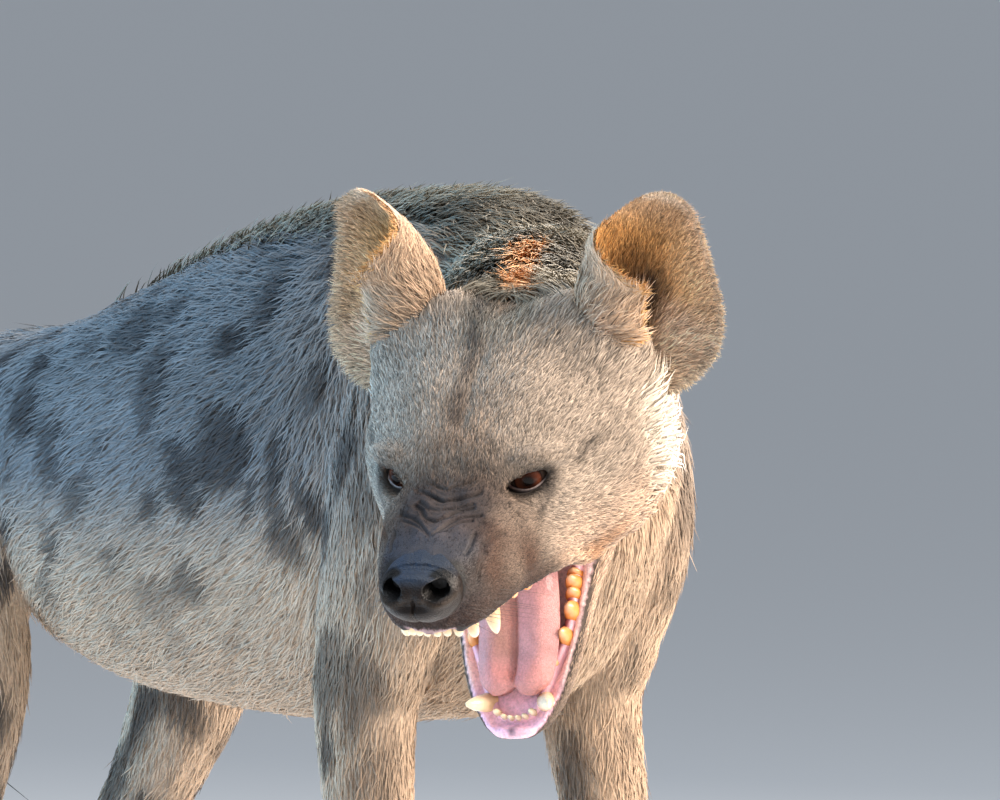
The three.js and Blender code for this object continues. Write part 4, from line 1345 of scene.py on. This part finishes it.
def makeGum(name, half):
    # a ridge along both rows of teeth, round the front, raised between the teeth
    side = np.array(half["rows"])[:, :2]
    end = side[-1] + [4, 34]
    line = catmullRom(np.vstack([end, side[::-1], side * [-1, 1], end * [-1, 1]]), np.linspace(0, 1, 190))
    along = unit(np.gradient(line, axis=0))
    across = np.stack([-along[:, 1], along[:, 0]], 1)
    a = np.arange(26) / 26 * 2 * np.pi
    near = np.abs(line[:, None, 1] - side[None, :, 1]).min(1)
    scallop = 0.8 * np.sin(np.minimum(near / 5, 1) * np.pi / 2)
    slim = mix(0.62, 0.85, soft(line[:, 1], 20, 60))
    ring = np.empty((len(line), len(a), 3))
    ring[..., :2] = line[:, None] + across[:, None] * (np.cos(a) * gumHalf * slim[:, None])[..., None]
    ring[..., 2] = half["level"] + np.sin(a) * (half["tall"] + scallop[:, None])
    points, faces = tube(ring)
    within = np.append(np.tile(soft(np.cos(a), 0.5, -0.3), len(line)), [0, 0])
    colour = layered(
        paint(*half["tone"]) * (1 + 0.1 * ripple(points, 14))[:, None],
        # painted shade: a darker red towards the back and on the side facing the tongue
        (paint(132, 40, 24), soft(points[:, 1], 58, 84) * 0.85 * within),
    )
    return finished(headPiece(name, (half["move"](points), faces), colour), "gum", "mouth")


def unmoved(points):
    return points


gumHalf = 6.5  # half a gum's width
mouthSet = {
    "upper": {"rows": upperRow, "move": unmoved, "lean": (1.5, -1), "level": 12, "tall": 8,
              "tone": (150, 84, 80)},
    # the lower gum's own pale pink, lightened as painted light where the lip band lies in shade
    "lower": {"rows": lowerRow, "move": jawToHead, "lean": (11, -10), "level": -24.5, "tall": 9,
              "tone": (240, 190, 198)},
}
for name, half in mouthSet.items():
    makeTeeth("teeth_" + name, half, name + "_teeth")
for name, half in mouthSet.items():
    makeGum("gum_" + name, half)

tongue = form([
    [0, 45, -13, 16, 4, 5],
    [0, 51, -12, 25, 8, 7],
    [0, 62, -10.5, 28, 10.5, 8],
    [0, 82, -9, 29, 12, 9],
    [0, 122, -6, 30, 15, 12],
    [0, 172, -3, 26, 16, 14],
], sideways, 2.6)
tongueSet = {"crease": 4.6, "hollow": 4.5, "edge": 3.5, "notch": 4.5, "lobes": 1.3}


def makeTongue():
    # the loft with a groove down its middle and lobes at the tip
    points, faces = loft(tongue, 90, 80)
    x, y, z = points.T
    top = soft(z + 14 - 0.06 * (y - 50), 2, 9)
    lobes = bell(np.abs(x) - 13, 8)
    dip = tongueSet["crease"] * bell(x, 2.6) + tongueSet["hollow"] * bell(x, 11)
    dip = dip + tongueSet["edge"] * soft(np.abs(x), 18, 30)
    y = y + tongueSet["notch"] * bell(x, 3.5) * soft(y, 60, 46) - 2.5 * lobes * soft(y, 64, 48)
    z = z - dip * top * soft(y, 48, 60) * mix(1, 0.6, soft(y, 120, 160)) + 0.5 * ripple(points, 16) * top
    z = z + tongueSet["lobes"] * lobes * bell(y - 60, 9) * top + 0.5 * ripple(points + 50, 9) * top
    x = x * (1 + 0.04 * ripple(points, 26)) + 1.7 * np.sin((y - 50) / 21)
    points = np.stack([x, y, z], 1)
    colour = layered(
        paint(194, 140, 137) * (1 + 0.13 * ripple(points, 17) + 0.09 * ripple(points, 5))[:, None],
        # painted shade: darker along the groove down the middle
        (paint(128, 76, 76), bell(x, 2.2) * top * 0.75),
        (paint(208, 140, 134), soft(y, 70, 56) * 0.8),
        (paint(170, 124, 100), bell(x + 8, 9) * top * soft(y, 58, 80) * 0.6),
        # painted shade: darker towards the back of the mouth
        (paint(110, 44, 42), soft(y, 132, 168) * 0.7),
    )
    return finished(
        headPiece("tongue_flesh", (jawToHead(points), faces), colour), "tongue", "mouth", "tongue")


makeTongue()
print("mouth made")

# Claws: blunt dark horn, curved down
clawSet = {"tone": (38, 32, 29), "mottle": 0.25}


def makeClaws():
    # one tapered loft at the tip of each toe
    parts = []
    for leg in legs:
        for fan in toeFans:
            x, y, reach, slant = toePlace(leg, fan)
            horn = form([
                [x + slant, y - reach + 6, 15, 4.4, 4.6, 4.2],
                [x + slant, y - reach - 3, 14.5, 4.0, 4.2, 4],
                [x + slant * 1.1, y - reach - 10, 11, 3.0, 3, 3.2],
                [x + slant * 1.15, y - reach - 15, 5.5, 1.1, 1.2, 1.4],
            ], -sideways)
            parts.append(loft(horn, 20, 16))
    points, faces = together(parts)
    piece = meshPiece("claws", metres(points), faces)
    setAttribute(piece, "tint",
                 paint(*clawSet["tone"]) * (1 + clawSet["mottle"] * ripple(points, 8))[:, None])
    return finished(piece, "claw", "dark_coat")


makeClaws()
print("claws made")

# Ears: cupped shells, the inner face first and the back after it
earSet = {"rows": 72, "columns": 64, "inner": 1.1, "back": 0.9, "axis": (0.36, 0.26, 0.9),
          "face": (0.5, -0.86, 0.1), "curlFrom": 0.45, "curl": 24, "lobe": 6}
earAxis = unit(np.array(earSet["axis"]))
earFace = np.array(earSet["face"])
earFace = unit(earFace - earAxis * (earFace @ earAxis))
earWide = unit(np.cross(earFace, earAxis))
earWide = earWide * np.sign(earWide[0])


def earPlace(u, v, depth):
    # up the ear by u from 0 to 1, across it by v from -1 to 1, and back from its face by depth; the section
    # is an arc, and past the share "curlFrom" of its inner half it goes on in a tighter one, curling forwards
    openness = np.radians(mix(105, 38, np.clip(u, 0, 1) ** 0.7))
    breadth = stance["earHalf"] * np.sqrt(np.maximum(1e-4, 1 - ((u - 0.51) / 0.505) ** 2)) * mix(0.93, 1, u)
    breadth = breadth * (1 - 0.38 * soft(u, 0.45, 1.0)) * (1 + 0.12 * bell(u - 0.3, 0.24))
    radius = breadth / np.sin(np.minimum(np.pi / 2, openness))
    start = -earSet["curlFrom"]
    bend = np.maximum(v, start) * openness
    flatter = soft(u, 0.42, 0.92)
    tight = np.minimum(mix(earSet["curl"], 60, flatter), radius)
    past = (start - np.minimum(v, start)) * openness * radius * mix(2.1, 1, flatter) * soft(u, -0.1, 0.26)
    curl = np.minimum(past / tight, 2.95)
    up = stance["earLength"] * u - 26 * (1 - u) * (v + 1) * 0.5
    far = radius + depth
    out = np.sin(bend) * (radius - tight) + np.sin(bend - curl) * (tight + depth)
    front = radius * 0.6 - np.cos(bend) * (radius - tight) - np.cos(bend - curl) * (tight + depth)
    out = np.where(v < start, out, np.sin(bend) * far) + 8 * (1 - u)
    front = np.where(v < start, front, radius * 0.6 - np.cos(bend) * far) + 10 * u
    return earRoot + up[..., None] * earAxis + out[..., None] * earWide + front[..., None] * earFace


def earThick(u, v):
    # thinner towards the tip and the rim
    return mix(6, 3.4, u) * np.sqrt(np.maximum(0.06, 1 - np.abs(v) ** 6))


def earInner(u, v):
    # the inner face, with a soft lobe low on its outer half
    lobe = bell(u - 0.33, 0.22) * bell(v - 0.5, 0.35)
    return earPlace(u, v, earSet["inner"] - earSet["lobe"] * lobe)


def earBack(u, v):
    # the back, a thickness behind the inner face
    return earPlace(u, v, np.maximum(earThick(u, v) - earSet["back"], earSet["inner"] + 0.8))


def earColour(u, v, inner):
    # golden inside with a painted shade in the hollow and a painted glow where light shines through, tan
    # behind, pale at the rim
    rim = np.maximum(soft(v, 0.84, 0.98), soft(u, 0.9, 0.98)) * 0.7
    if not inner:
        return layered(
            paint(200, 171, 143),
            (paint(158, 136, 112), soft(v, -0.3, 0.1)),
            (paint(208, 192, 168), rim),
            (paint(150, 128, 108), soft(u, 0.3, 0.05) * 0.5),
        )
    groove = bell(v - 0.06 - 0.3 * (u - 0.3), 0.2) * soft(u, 0.64, 0.4)
    return layered(
        paint(206, 156, 96),
        (paint(180, 152, 124), soft(u, 0.66, 0.9) * 0.8),
        # painted glow of light shining through the ear
        (paint(244, 208, 164), bell(u - 0.6, 0.22) * bell(v - 0.62, 0.34) * 0.9),
        (paint(244, 216, 190), soft(u, 0.5, 0.34) * soft(v, 0.1, 0.4) * 0.9),
        (paint(116, 82, 44), bell(u - 0.52, 0.2) * bell(v + 0.12, 0.26) * 0.8),
        (paint(236, 206, 176), soft(v, 0.42, 0.85) * 0.6),
        # painted shade in the ear's hollow, towards its base
        (paint(40, 30, 25), np.clip(1.3 * groove, 0, 1) * 0.95),
        (paint(222, 206, 186), rim),
    )


def makeEar(name, flip):
    # a closed tube of rings, each along the inner face and back along the outer one
    m, n = earSet["rows"], earSet["columns"]
    u, v = np.meshgrid(np.linspace(0, 1, m), np.linspace(-1, 1, n), indexing="ij")
    part = tube(np.concatenate([earInner(u, v), earBack(u, v)[:, ::-1]], 1))
    inner = earColour(u.ravel(), v.ravel(), True).reshape(m, n, 3)
    back = earColour(u.ravel(), v[:, ::-1].ravel(), False).reshape(m, n, 3)
    tone = np.concatenate([inner, back], 1).reshape(-1, 3)
    piece = headPiece(name + "_skin", part, np.vstack([tone, tone[:1], tone[-1:]]) * 0.8, flip)
    setAttribute(piece, "wet", np.zeros(len(part[0])))
    return finished(piece, "skin", "coat", name)


makeEar("ear_left", False)
makeEar("ear_right", True)
print("ears made")

# The coat: thin ridged tufts, each a bent blade that narrows to a tip
coatRng = np.random.default_rng(2024)
patch = 0.003  # how wide a tuft's share of the unwrap is
# How light a tuft is at its root and tip, the root darker as painted shade deep in the coat and the tip lighter
# as the hair's own, how much one differs from the next, and how many are dark
quiet = {"root": 0.76, "tip": 1.08, "vary": 0.08, "dark": 0.04}
crisp = {"root": 0.48, "tip": 1.25, "vary": 0.24, "dark": 0.17}


def tuftPiece(name, root, normal, lie, length, width, lift, bend, tone, place, rings, strand=crisp):
    # a blade runs from its root along the lie, rises by its lift and falls again by its bend; rings of three
    n = len(root)
    side = unit(np.cross(normal, lie))
    roll = coatRng.normal(0, 0.35, n)[:, None]
    side, up = side * np.cos(roll) + normal * np.sin(roll), normal * np.cos(roll) - side * np.sin(roll)
    sway = side * (coatRng.normal(0, 0.13, n) * length)[:, None]
    shares = [*rings, 1.0]
    profile = np.interp(shares, [0, 0.25, 0.6, 1], [0.85, 1.0, 0.72, 0])
    points, shade = [], []
    for s, p in zip(shares, profile):
        rise = lift * length * s * (1 - bend * s) - 0.02 * length
        centre = root + lie * (length * s)[:, None] + normal * rise[:, None] + sway * s * s
        reach = (width * 0.5 * p)[:, None]
        if s < 1:
            points += [centre - side * reach, centre + up * reach * 0.8, centre + side * reach]
            shade += [s, s, s]
        else:
            points.append(centre)
            shade.append(1.0)
    count = len(points)
    points = np.stack(points, 1).reshape(-1, 3)
    points[:, 2] = np.maximum(points[:, 2], 0.3)
    corners = []
    for k in range(len(rings) - 1):
        a, b = 3 * k, 3 * k + 3
        corners += [[a, a + 1, b + 1], [a, b + 1, b], [a + 1, a + 2, b + 2], [a + 1, b + 2, b + 1]]
    last = 3 * len(rings) - 3
    corners += [[last, last + 1, last + 3], [last + 1, last + 2, last + 3]]
    corners = np.array(corners)
    faces = (corners[None] + np.arange(n)[:, None, None] * count).reshape(-1, 3)
    piece = meshPiece(name, metres(points), faces)
    shade = np.array(shade)
    # painted shade deep in the coat: each blade darker at its root, and lighter towards the hair's own pale tip
    bright = np.interp(shade, [0, 0.4, 1], [strand["root"], 0.92, strand["tip"]])
    each = (coatRng.normal(1, strand["vary"], n)
            * np.where(coatRng.uniform(0, 1, n) < strand["dark"], 0.62, 1.03))
    each = np.clip(each, 0.35, 1.5)[:, None] * bright[None]
    setAttribute(piece, "tint", (tone[:, None] * each[..., None]).reshape(-1, 3))
    across = np.tile([0, 0.5, 1.0], len(rings)).tolist() + [0.5]
    spotU = place[:, :1] + (np.array(across)[None] - 0.5) * patch
    spotV = place[:, 1:] + (shade[None] - 0.5) * patch
    flat = np.clip(np.stack([spotU, spotV], -1), 0, 1).reshape(-1, 2)
    layer = piece.data.uv_layers.new(name="OFBake")
    layer.data.foreach_set("uv", flat[faces.ravel()].astype(np.float32).ravel())
    return finished(piece, "fur", "coat")


def flattened(ways, normals):
    # directions laid flat on the skin
    return unit(ways - normals * (ways * normals).sum(1, keepdims=True))


def scattered(weight, count):
    # random places on the skin, as many for an area as its weight says: triangle and shares of its corners
    total = np.cumsum(areasOf(points, triangles) * weight[triangles].mean(1))
    face = np.searchsorted(total, coatRng.uniform(0, total[-1], count))
    r, q = np.sqrt(coatRng.uniform(0, 1, count)), coatRng.uniform(0, 1, count)
    return face, np.stack([1 - r, r * (1 - q), r * q], 1)


def carried(values, face, shares):
    # values of the corners mixed by their shares
    corners = values[triangles[face]]
    if values.ndim == 1:
        return (corners * shares).sum(1)
    return (corners * shares[..., None]).sum(1)


# How long, wide, dense and raised the coat is at each point of the skin
isPart = {name: part == number for number, name in enumerate(partNames)}
z = points[:, 2]
folded = np.stack([hx, hy, hz], 1)
outwards = np.sign(local[:, 0])
upness = np.sin(angle)
onLeg = onLegs(part)
length = np.full(len(points), 27.0)
length = np.where(isPart["neck"], mix(34, 30, soft(share, 0.5, 1)), length)
length = np.where(isPart["tail"], 26, length)
length = np.where(onLeg, mix(7, 28, soft(z, 60, 560)), length)
faceLength = np.interp(hy, [0, 40, 75, 110, 150, 200, 250, 300], [1.8, 2.6, 3.6, 6.2, 9.5, 12, 15, 24])
faceLength *= mix(1, 0.8, soft(hz, 90, 120) * soft(hy, 220, 190))
ruffShare = soft(hy, 192, 228) * soft(hz, 98, 80) * soft(hz, -60, -10)
faceLength = mix(faceLength, 42, ruffShare)
nearEar = bell(np.linalg.norm(folded - (earRoot + [-4, -10, 18]), axis=1), 34)
faceLength = mix(faceLength, 18, np.clip(1.2 * nearEar, 0, 1))
length = np.where(isPart["skull"], faceLength, length)
jawLength = np.interp(chin[:, 1], [15, 60, 120, 180, 240], [2.2, 4.0, 7.0, 13, 24])
length = np.where(isPart["jaw"], jawLength, length)
nearEyes = np.linalg.norm(folded - eye, axis=1)
length = length * mix(1, 0.45, soft(nearEyes, 34, 20))
width = np.interp(length, [1.4, 5, 10, 20, 34], [0.6, 0.78, 0.95, 1.2, 1.45])
lift = np.interp(length, [1.4, 8, 14, 30], [0.3, 0.34, 0.3, 0.22])
lift = np.where(ruffShare > 0.3, mix(0.45, 0.8, soft(hz, 0, 34)), lift)

# Which way the hair lies: back along each form, down the flanks, away from the eyes and up to the ears
lie = way.copy()
lie[isPart["neck"]] *= -1
lie = lie + np.array([0, 0, -0.45]) * ((part <= neckIndex) * soft(upness, 0.98, 0.4))[:, None]
outHead = np.stack([outwards * 0.35 * soft(hx, 4, 40), np.ones(len(points)), 0 * z], 1)
outHead[:, 2] = np.where(hz > 40, 0.25 * soft(hy, 60, 110), -0.25)
outHead[:, 2] -= 0.5 * ruffShare
outHead[:, 0] += 0.55 * outwards * ruffShare * soft(hz, 0, 30)
toSide = np.stack([outwards, 1 + 0 * z, 1 + 0 * z], 1)
outHead += unit(local - eye * toSide) * (1.4 * soft(nearEyes, 46, 22))[:, None]
outHead += earAxis * toSide * (1.6 * nearEar)[:, None]
lie = np.where(isPart["skull"][:, None], outHead @ headTurn.T, lie)
edges = edgesOf(skin.data)
lie = unit(lie)
for _ in range(14):
    lie = lie * 0.4 + averaged(lie, edges) * 0.6
lie = flattened(lie, normals)

# How much of the skin is open to hair: none in the mouth or on the nose or eyes, little on the bare bridge
haired = np.where(nearHead, soft(mouth, 1.12, 1.3), 1.0) * soft(nearEyes, 17.5, 21)
haired *= soft(nearMeasure(lambda p: insideOf(nosePad, p, 16)), 1.02, 1.15) * (points[:, 2] > 6)
nude = nearHead * soft(hy, 93, 76) * soft(hx, 40, 24) * soft(hz, 42, 54)
haired *= 1 - 0.92 * np.clip(nude, 0, 1)
haired *= 1 - 0.6 * np.clip(creased / 2, 0, 1)

cover = np.where(part >= skullIndex, 2.1, np.where(onLeg, mix(0.6, 2.0, soft(z, 240, 480)), 2.3))
cover = cover * np.where(isPart["skull"] & (hy < 75), 0.45, 1)
density = haired * cover / (0.55 * length * width)


def makeCoat(name, chosen, coat):
    # tufts for the chosen points of the skin, in pieces one after another along the part
    weight = density * chosen
    count = min(int((areasOf(points, triangles) * weight[triangles].mean(1)).sum()), coat["most"])
    face, shares = scattered(weight, count)
    root = carried(points, face, shares)
    rootPart, rootShare, rootAngle, _ = layOf(root)
    for number, chunk in enumerate(np.array_split(np.argsort(rootShare), coat["pieces"]), 1):
        f, s = face[chunk], shares[chunk]
        up = unit(carried(normals, f, s))
        lay = flattened(unit(carried(lie, f, s) + coatRng.normal(0, 0.13, (len(f), 3))), up)
        long = carried(length, f, s) * coatRng.uniform(0.72, 1.22, len(f))
        wide = carried(width, f, s) * coatRng.uniform(0.75, 1.25, len(f))
        rise = carried(lift, f, s) * coatRng.uniform(0.7, 1.4, len(f))
        tone = coatColour(root[chunk], rootPart[chunk], rootShare[chunk], rootAngle[chunk])
        low, high = rootShare[chunk].min(), rootShare[chunk].max()
        place = np.stack([(rootShare[chunk] - low) / max(high - low, 1e-6),
                          rootAngle[chunk] / (2 * np.pi) + 0.5], 1)
        tuftPiece(f"coat_{name}_{number}", root[chunk], up, lay, long, wide, rise, 0.75, tone,
                  place * 0.99 + 0.005, coat["rings"], crisp if name in ("face", "jaw") else quiet)
    print("coat", name, count, "tufts in", coat["pieces"])


longRings, shortRings = (0.0, 0.34, 0.68), (0.0, 0.5)
# Where each piece of coat grows, the most tufts that it may have, and how many pieces it is in
coatSet = {
    "trunk": {"on": ["trunk"], "rings": shortRings, "most": 50000, "pieces": 3},
    "neck": {"on": ["neck"], "rings": longRings, "most": 16000, "pieces": 1},
    "tail": {"on": ["tail"], "rings": longRings, "most": 6000, "pieces": 1},
    "forelegs": {"on": ["foreleg_left", "foreleg_right"], "rings": shortRings, "most": 30000, "pieces": 1},
    "hindlegs": {"on": ["hindleg_left", "hindleg_right"], "rings": shortRings, "most": 24000, "pieces": 1},
    "face": {"on": ["skull"], "rings": shortRings, "most": 46500, "pieces": 3},
    "jaw": {"on": ["jaw"], "rings": shortRings, "most": 24000, "pieces": 1},
}
for name, coat in coatSet.items():
    makeCoat(name, np.any([isPart[part] for part in coat["on"]], axis=0), coat)

# Crest: longer hair along the top of the neck and withers, standing up and swept forwards
crestSet = {"count": 11800, "length": 42, "nape": 26, "width": 1.5, "lift": 0.85, "bend": 0.5}


def makeCrest():
    # tufts along the top line that lean towards a point over the brow
    onTop = np.where(isPart["neck"], soft(upness, 0.62, 0.86), soft(upness, 0.9, 0.975))
    region = isPart["neck"] * soft(share, 0.1, 0.3) + isPart["trunk"] * soft(share, 0.62, 0.3)
    region = region + isPart["skull"] * soft(hy, 232, 262) * 1.6
    face, shares = scattered(onTop * region, crestSet["count"] // (1))
    root, up = carried(points, face, shares), unit(carried(normals, face, shares))
    forward = unit(headToWorld(np.array([0, 250, 110])) - root)
    forward = unit(mix(forward, np.array([0, -1.0, 0]), soft(root[:, 1], -330, -240)[:, None]))
    forward = flattened(unit(forward + coatRng.normal(0, 0.2, root.shape)), up)
    atNape = soft(worldToHead(root)[:, 1], 310, 262)
    long = mix(crestSet["length"], crestSet["nape"], atNape) * coatRng.uniform(0.7, 1.25, len(root))
    tone = layered(
        tones["mane"] * (1 + 0.15 * ripple(root, 30))[:, None],
        ("spot", 0.45 * soft(ripple(root, 40), 0.1, 0.7)),
        ("ochre", ochrePatch(worldToHead(root + forward * long[:, None] * 0.35))),
    )
    place = np.stack([soft(root[:, 1], -480, 100), carried(local[:, 0], face, shares) / 400 + 0.5], 1)
    tuftPiece("coat_crest", root, up, forward, long * 0.75, np.full(len(root), crestSet["width"]),
              np.full(len(root), crestSet["lift"]), crestSet["bend"], tone, place, longRings, quiet)


makeCrest()

# Tail brush: long dark hair from half way down
brushSet = {"count": 2600, "length": 96, "width": 2.2}


def makeBrush():
    # tufts that run down the tail, longest at its end
    face, shares = scattered(isPart["tail"] * soft(share, 0.42, 0.6), brushSet["count"])
    root, up = carried(points, face, shares), unit(carried(normals, face, shares))
    along = flattened(unit(carried(way, face, shares) + coatRng.normal(0, 0.08, root.shape)), up)
    down = np.clip((560 - root[:, 2]) / 190, 0, 1)
    long = brushSet["length"] * mix(0.6, 1, down) * coatRng.uniform(0.7, 1.1, len(root))
    tone = tones["brush"] * (1 + 0.3 * ripple(root, 12))[:, None]
    place = np.stack([down, carried(angle, face, shares) / 6.3 + 0.5], 1)
    tuftPiece("coat_brush", root, up, along, long, np.full(len(root), brushSet["width"]),
              coatRng.uniform(0.1, 0.26, len(root)), 0.8, tone, place, longRings, quiet)


makeBrush()

# Ears: short hair up the back, golden hair inside that spreads from the middle, and a pale fringe on the rim
earCoatSet = {"inner": 8000, "back": 7400, "fringe": 3400,
              "innerLength": 11, "backLength": 8, "fringeLength": 11}


def earField(u, v, place):
    # the point, the outward normal and the directions up and across, by small differences
    step = 1e-3
    here = place(u, v)
    upwards = unit(place(np.clip(u + step, 0, 1), v) - place(np.clip(u - step, 0, 1), v))
    across = unit(place(u, np.clip(v + step, -1, 1)) - place(u, np.clip(v - step, -1, 1)))
    return here, unit(np.cross(across, upwards)), upwards, across


def makeEarCoat(name, flip):
    # three kinds of hair on the ear's own surface, in one piece
    rows = []
    kinds = (("inner", earInner, 1), ("back", earBack, -1), ("fringe", earInner, 1))
    for kind, place, facing in kinds:
        count = earCoatSet[kind] // 1
        u, v = coatRng.uniform(0.02, 0.985, count), coatRng.uniform(-0.98, 0.98, count)
        if kind == "fringe":
            # round the rim: up one side, over the tip and down the other
            turn = coatRng.uniform(-0.86, 0.86, count) * np.pi
            u = np.clip(0.5 + 0.49 * np.cos(turn) * coatRng.uniform(0.96, 1, count), 0, 0.99)
            v = np.sin(turn)
            v = np.sign(v) * np.minimum(np.abs(v) * 1.6, coatRng.uniform(0.9, 0.995, count))
        here, normal, upwards, across = earField(u, v, place)
        test = earPlace(u, v, 0 * u) - earPlace(u, v, 1 + 0 * u)
        normal = normal * np.sign((normal * test).sum(1))[:, None] * facing
        if kind == "inner":
            lay = upwards * 0.75 + across * (1.1 * v)[:, None]
            long = earCoatSet["innerLength"] * mix(0.8, 1.1, np.abs(v))
            rise = mix(0.4, 0.3, soft(v, -0.15, -0.4))
        elif kind == "back":
            onCurl = soft(v, -0.3, -0.6) * soft(u, 0.85, 0.35)
            lay = upwards + across * mix(0.3 * v, -0.75, onCurl)[:, None]
            long = earCoatSet["backLength"] * (1 + 1.2 * onCurl)
            rise = np.full(count, 0.3)
        else:
            outward = np.sign(v) * soft(np.abs(v), 0, 0.6)
            lay = upwards * (0.25 + 0.9 * soft(u, 0.7, 0.98))[:, None] + across * outward[:, None]
            long = np.full(count, earCoatSet["fringeLength"])
            rise = coatRng.uniform(-0.25, 0.5, count)
        lay = flattened(unit(unit(lay) + coatRng.normal(0, 0.2, lay.shape)), normal)
        tone = earColour(u, v, kind != "back")
        if kind == "fringe":
            tone = blend(tone, paint(222, 206, 180), mix(0.12, 0.5, soft(v, -0.4, 0.4)))
            long = long * mix(1.0, 0.75, soft(u, 0.3, 0.7))
        tone = tone * (1 + 0.12 * ripple(here, 14))[:, None]
        spot = np.stack([u * 0.48 + (0.5 if kind == "back" else 0), v * 0.49 + 0.5], 1)
        rows.append((here, normal, lay, long * coatRng.uniform(0.7, 1.25, count), rise, tone, spot))
    here, normal, lay, long, rise, tone, spot = (np.concatenate(column) for column in zip(*rows))
    if flip:
        here, normal, lay = here * mirror, normal * mirror, lay * mirror
    tuftPiece("coat_" + name, headToWorld(here), normal @ headTurn.T, lay @ headTurn.T, long,
              coatRng.uniform(0.6, 1.05, len(long)), rise, 0.7, tone, spot, shortRings)


makeEarCoat("ear_left", False)
makeEarCoat("ear_right", True)

# Whiskers: fine bent tubes in rows beside the nose, over the eyes and on the chin
whiskerSet = {"thick": 0.2, "seed": 3, "tone": (60, 48, 40)}


def makeWhiskers():
    # each a line that droops, with a ring of five points carried along it
    rng = np.random.default_rng(whiskerSet["seed"])
    roots, ways, lengths = [], [], []
    for row in range(3):
        for k in range(5):
            t = np.array([0.075 + 0.028 * k + 0.006 * rng.normal()])
            a = np.array([-0.12 - 0.17 * row + 0.03 * rng.normal()])
            root = surfaceOf(skull, t, a, -1.5)[0]
            out = unit(np.array([0.8, 0.8 + 0.1 * k, -0.5 - 0.08 * row]) + 0.14 * rng.normal(size=3))
            roots.append(root)
            ways.append(out)
            lengths.append(rng.uniform(24, 42) + 4 * k)
    for k in range(3):
        roots.append(np.array([44 + 5 * k, 112 + 3 * k, 92 - 1.5 * k]))
        ways.append(unit(np.array([0.35 + 0.2 * k, -0.2, 1.0])))
        lengths.append(rng.uniform(26, 38))
    for k in range(5):
        a = np.array([-1.2 + 0.12 * k])
        roots.append(jawToHead(surfaceOf(jaw, np.array([0.12 + 0.05 * k]), a, -1))[0])
        ways.append(partTurn(1) @ unit(np.array([0.5, 0.4, -0.9]) + 0.15 * rng.normal(size=3)))
        lengths.append(rng.uniform(14, 26))
    parts = []
    for root, out, long in zip(roots, ways, lengths):
        for side in (1, -1):
            s = np.linspace(0, 1, 10)[:, None]
            droop = np.array([0.1, 0.35, -0.45]) * rng.uniform(0.5, 1.2)
            line = (root + (out * s + droop * s * s * 0.5) * long * rng.uniform(0.85, 1.1)) * [side, 1, 1]
            along = unit(np.gradient(line, axis=0))
            first = unit(np.cross(along, [0.3, 0.2, 1]))
            second = np.cross(along, first)
            a = np.arange(5) / 5 * 2 * np.pi
            thick = whiskerSet["thick"] * (1.05 - s)
            ring = line[:, None] + thick[:, None] * (first[:, None] * np.cos(a)[None, :, None]
                                                     + second[:, None] * np.sin(a)[None, :, None])
            parts.append(tube(ring))
    points, faces = together(parts)
    tone = np.tile(paint(*whiskerSet["tone"]), (len(points), 1))
    return finished(headPiece("whiskers", (points, faces), tone), "claw", "dark_coat")


makeWhiskers()
print("ears dressed, whiskers made")

# The floor, the light and the last word

floor = meshPiece(
    "floor", np.array([[-1, -1, 0], [1, -1, 0], [1, 1, 0], [-1, 1, 0]]) * 90.0, np.arange(4)[None])
paper, _, _, paperShader = material("pale floor", rough=0.9, specular=0.1)
paperShader.inputs["Base Color"].default_value = (0.8, 0.79, 0.77, 1)
floor.data.materials.append(paper)

lamps = [
    {"name": "key", "way": (0.88, -0.32, 0.52), "far": 3.2, "size": 1.5,
     "power": 228, "tone": (1.0, 0.86, 0.74)},
    {"name": "fill", "way": (-1.0, 0.08, 0.28), "far": 3.6, "size": 2.4,
     "power": 215, "tone": (0.25, 0.6, 1.0)},
    {"name": "rim", "way": (0.5, 0.75, 0.75), "far": 3.2, "size": 1.2,
     "power": 165, "tone": (1.0, 0.94, 0.88)},
    {"name": "top", "way": (-0.1, -0.2, 1.0), "far": 3.0, "size": 2.4,
     "power": 55, "tone": (0.9, 0.95, 1.0)},
]
target = metres(eyes + [90, 160, -60])
for number, lamp in enumerate(lamps):
    # the lamp's way is given across the picture, towards the scene and up
    x, y, z = lamp["way"]
    way = unit(rightWay * x + np.array([ahead[0], ahead[1], 0]) * y + np.array([0, 0, 1.0]) * z)
    data = bpy.data.lights.new(lamp["name"], "AREA")
    data.size, data.energy, data.color = lamp["size"], lamp["power"], lamp["tone"]
    light = bpy.data.objects.new(lamp["name"], data)
    bpy.context.scene.collection.objects.link(light)
    light.location = target + way * lamp["far"]
    light.visible_glossy = number != 1
    light.rotation_euler = Vector(-way).to_track_quat("-Z", "Y").to_euler()
world = bpy.data.worlds.new("studio")
world.use_nodes = True
world.node_tree.nodes["Background"].inputs["Color"].default_value = (0.76, 0.85, 0.98, 1)
world.node_tree.nodes["Background"].inputs["Strength"].default_value = 0.44
bpy.context.scene.world = world
bpy.context.scene.view_settings.view_transform = "Standard"

print("scene done")
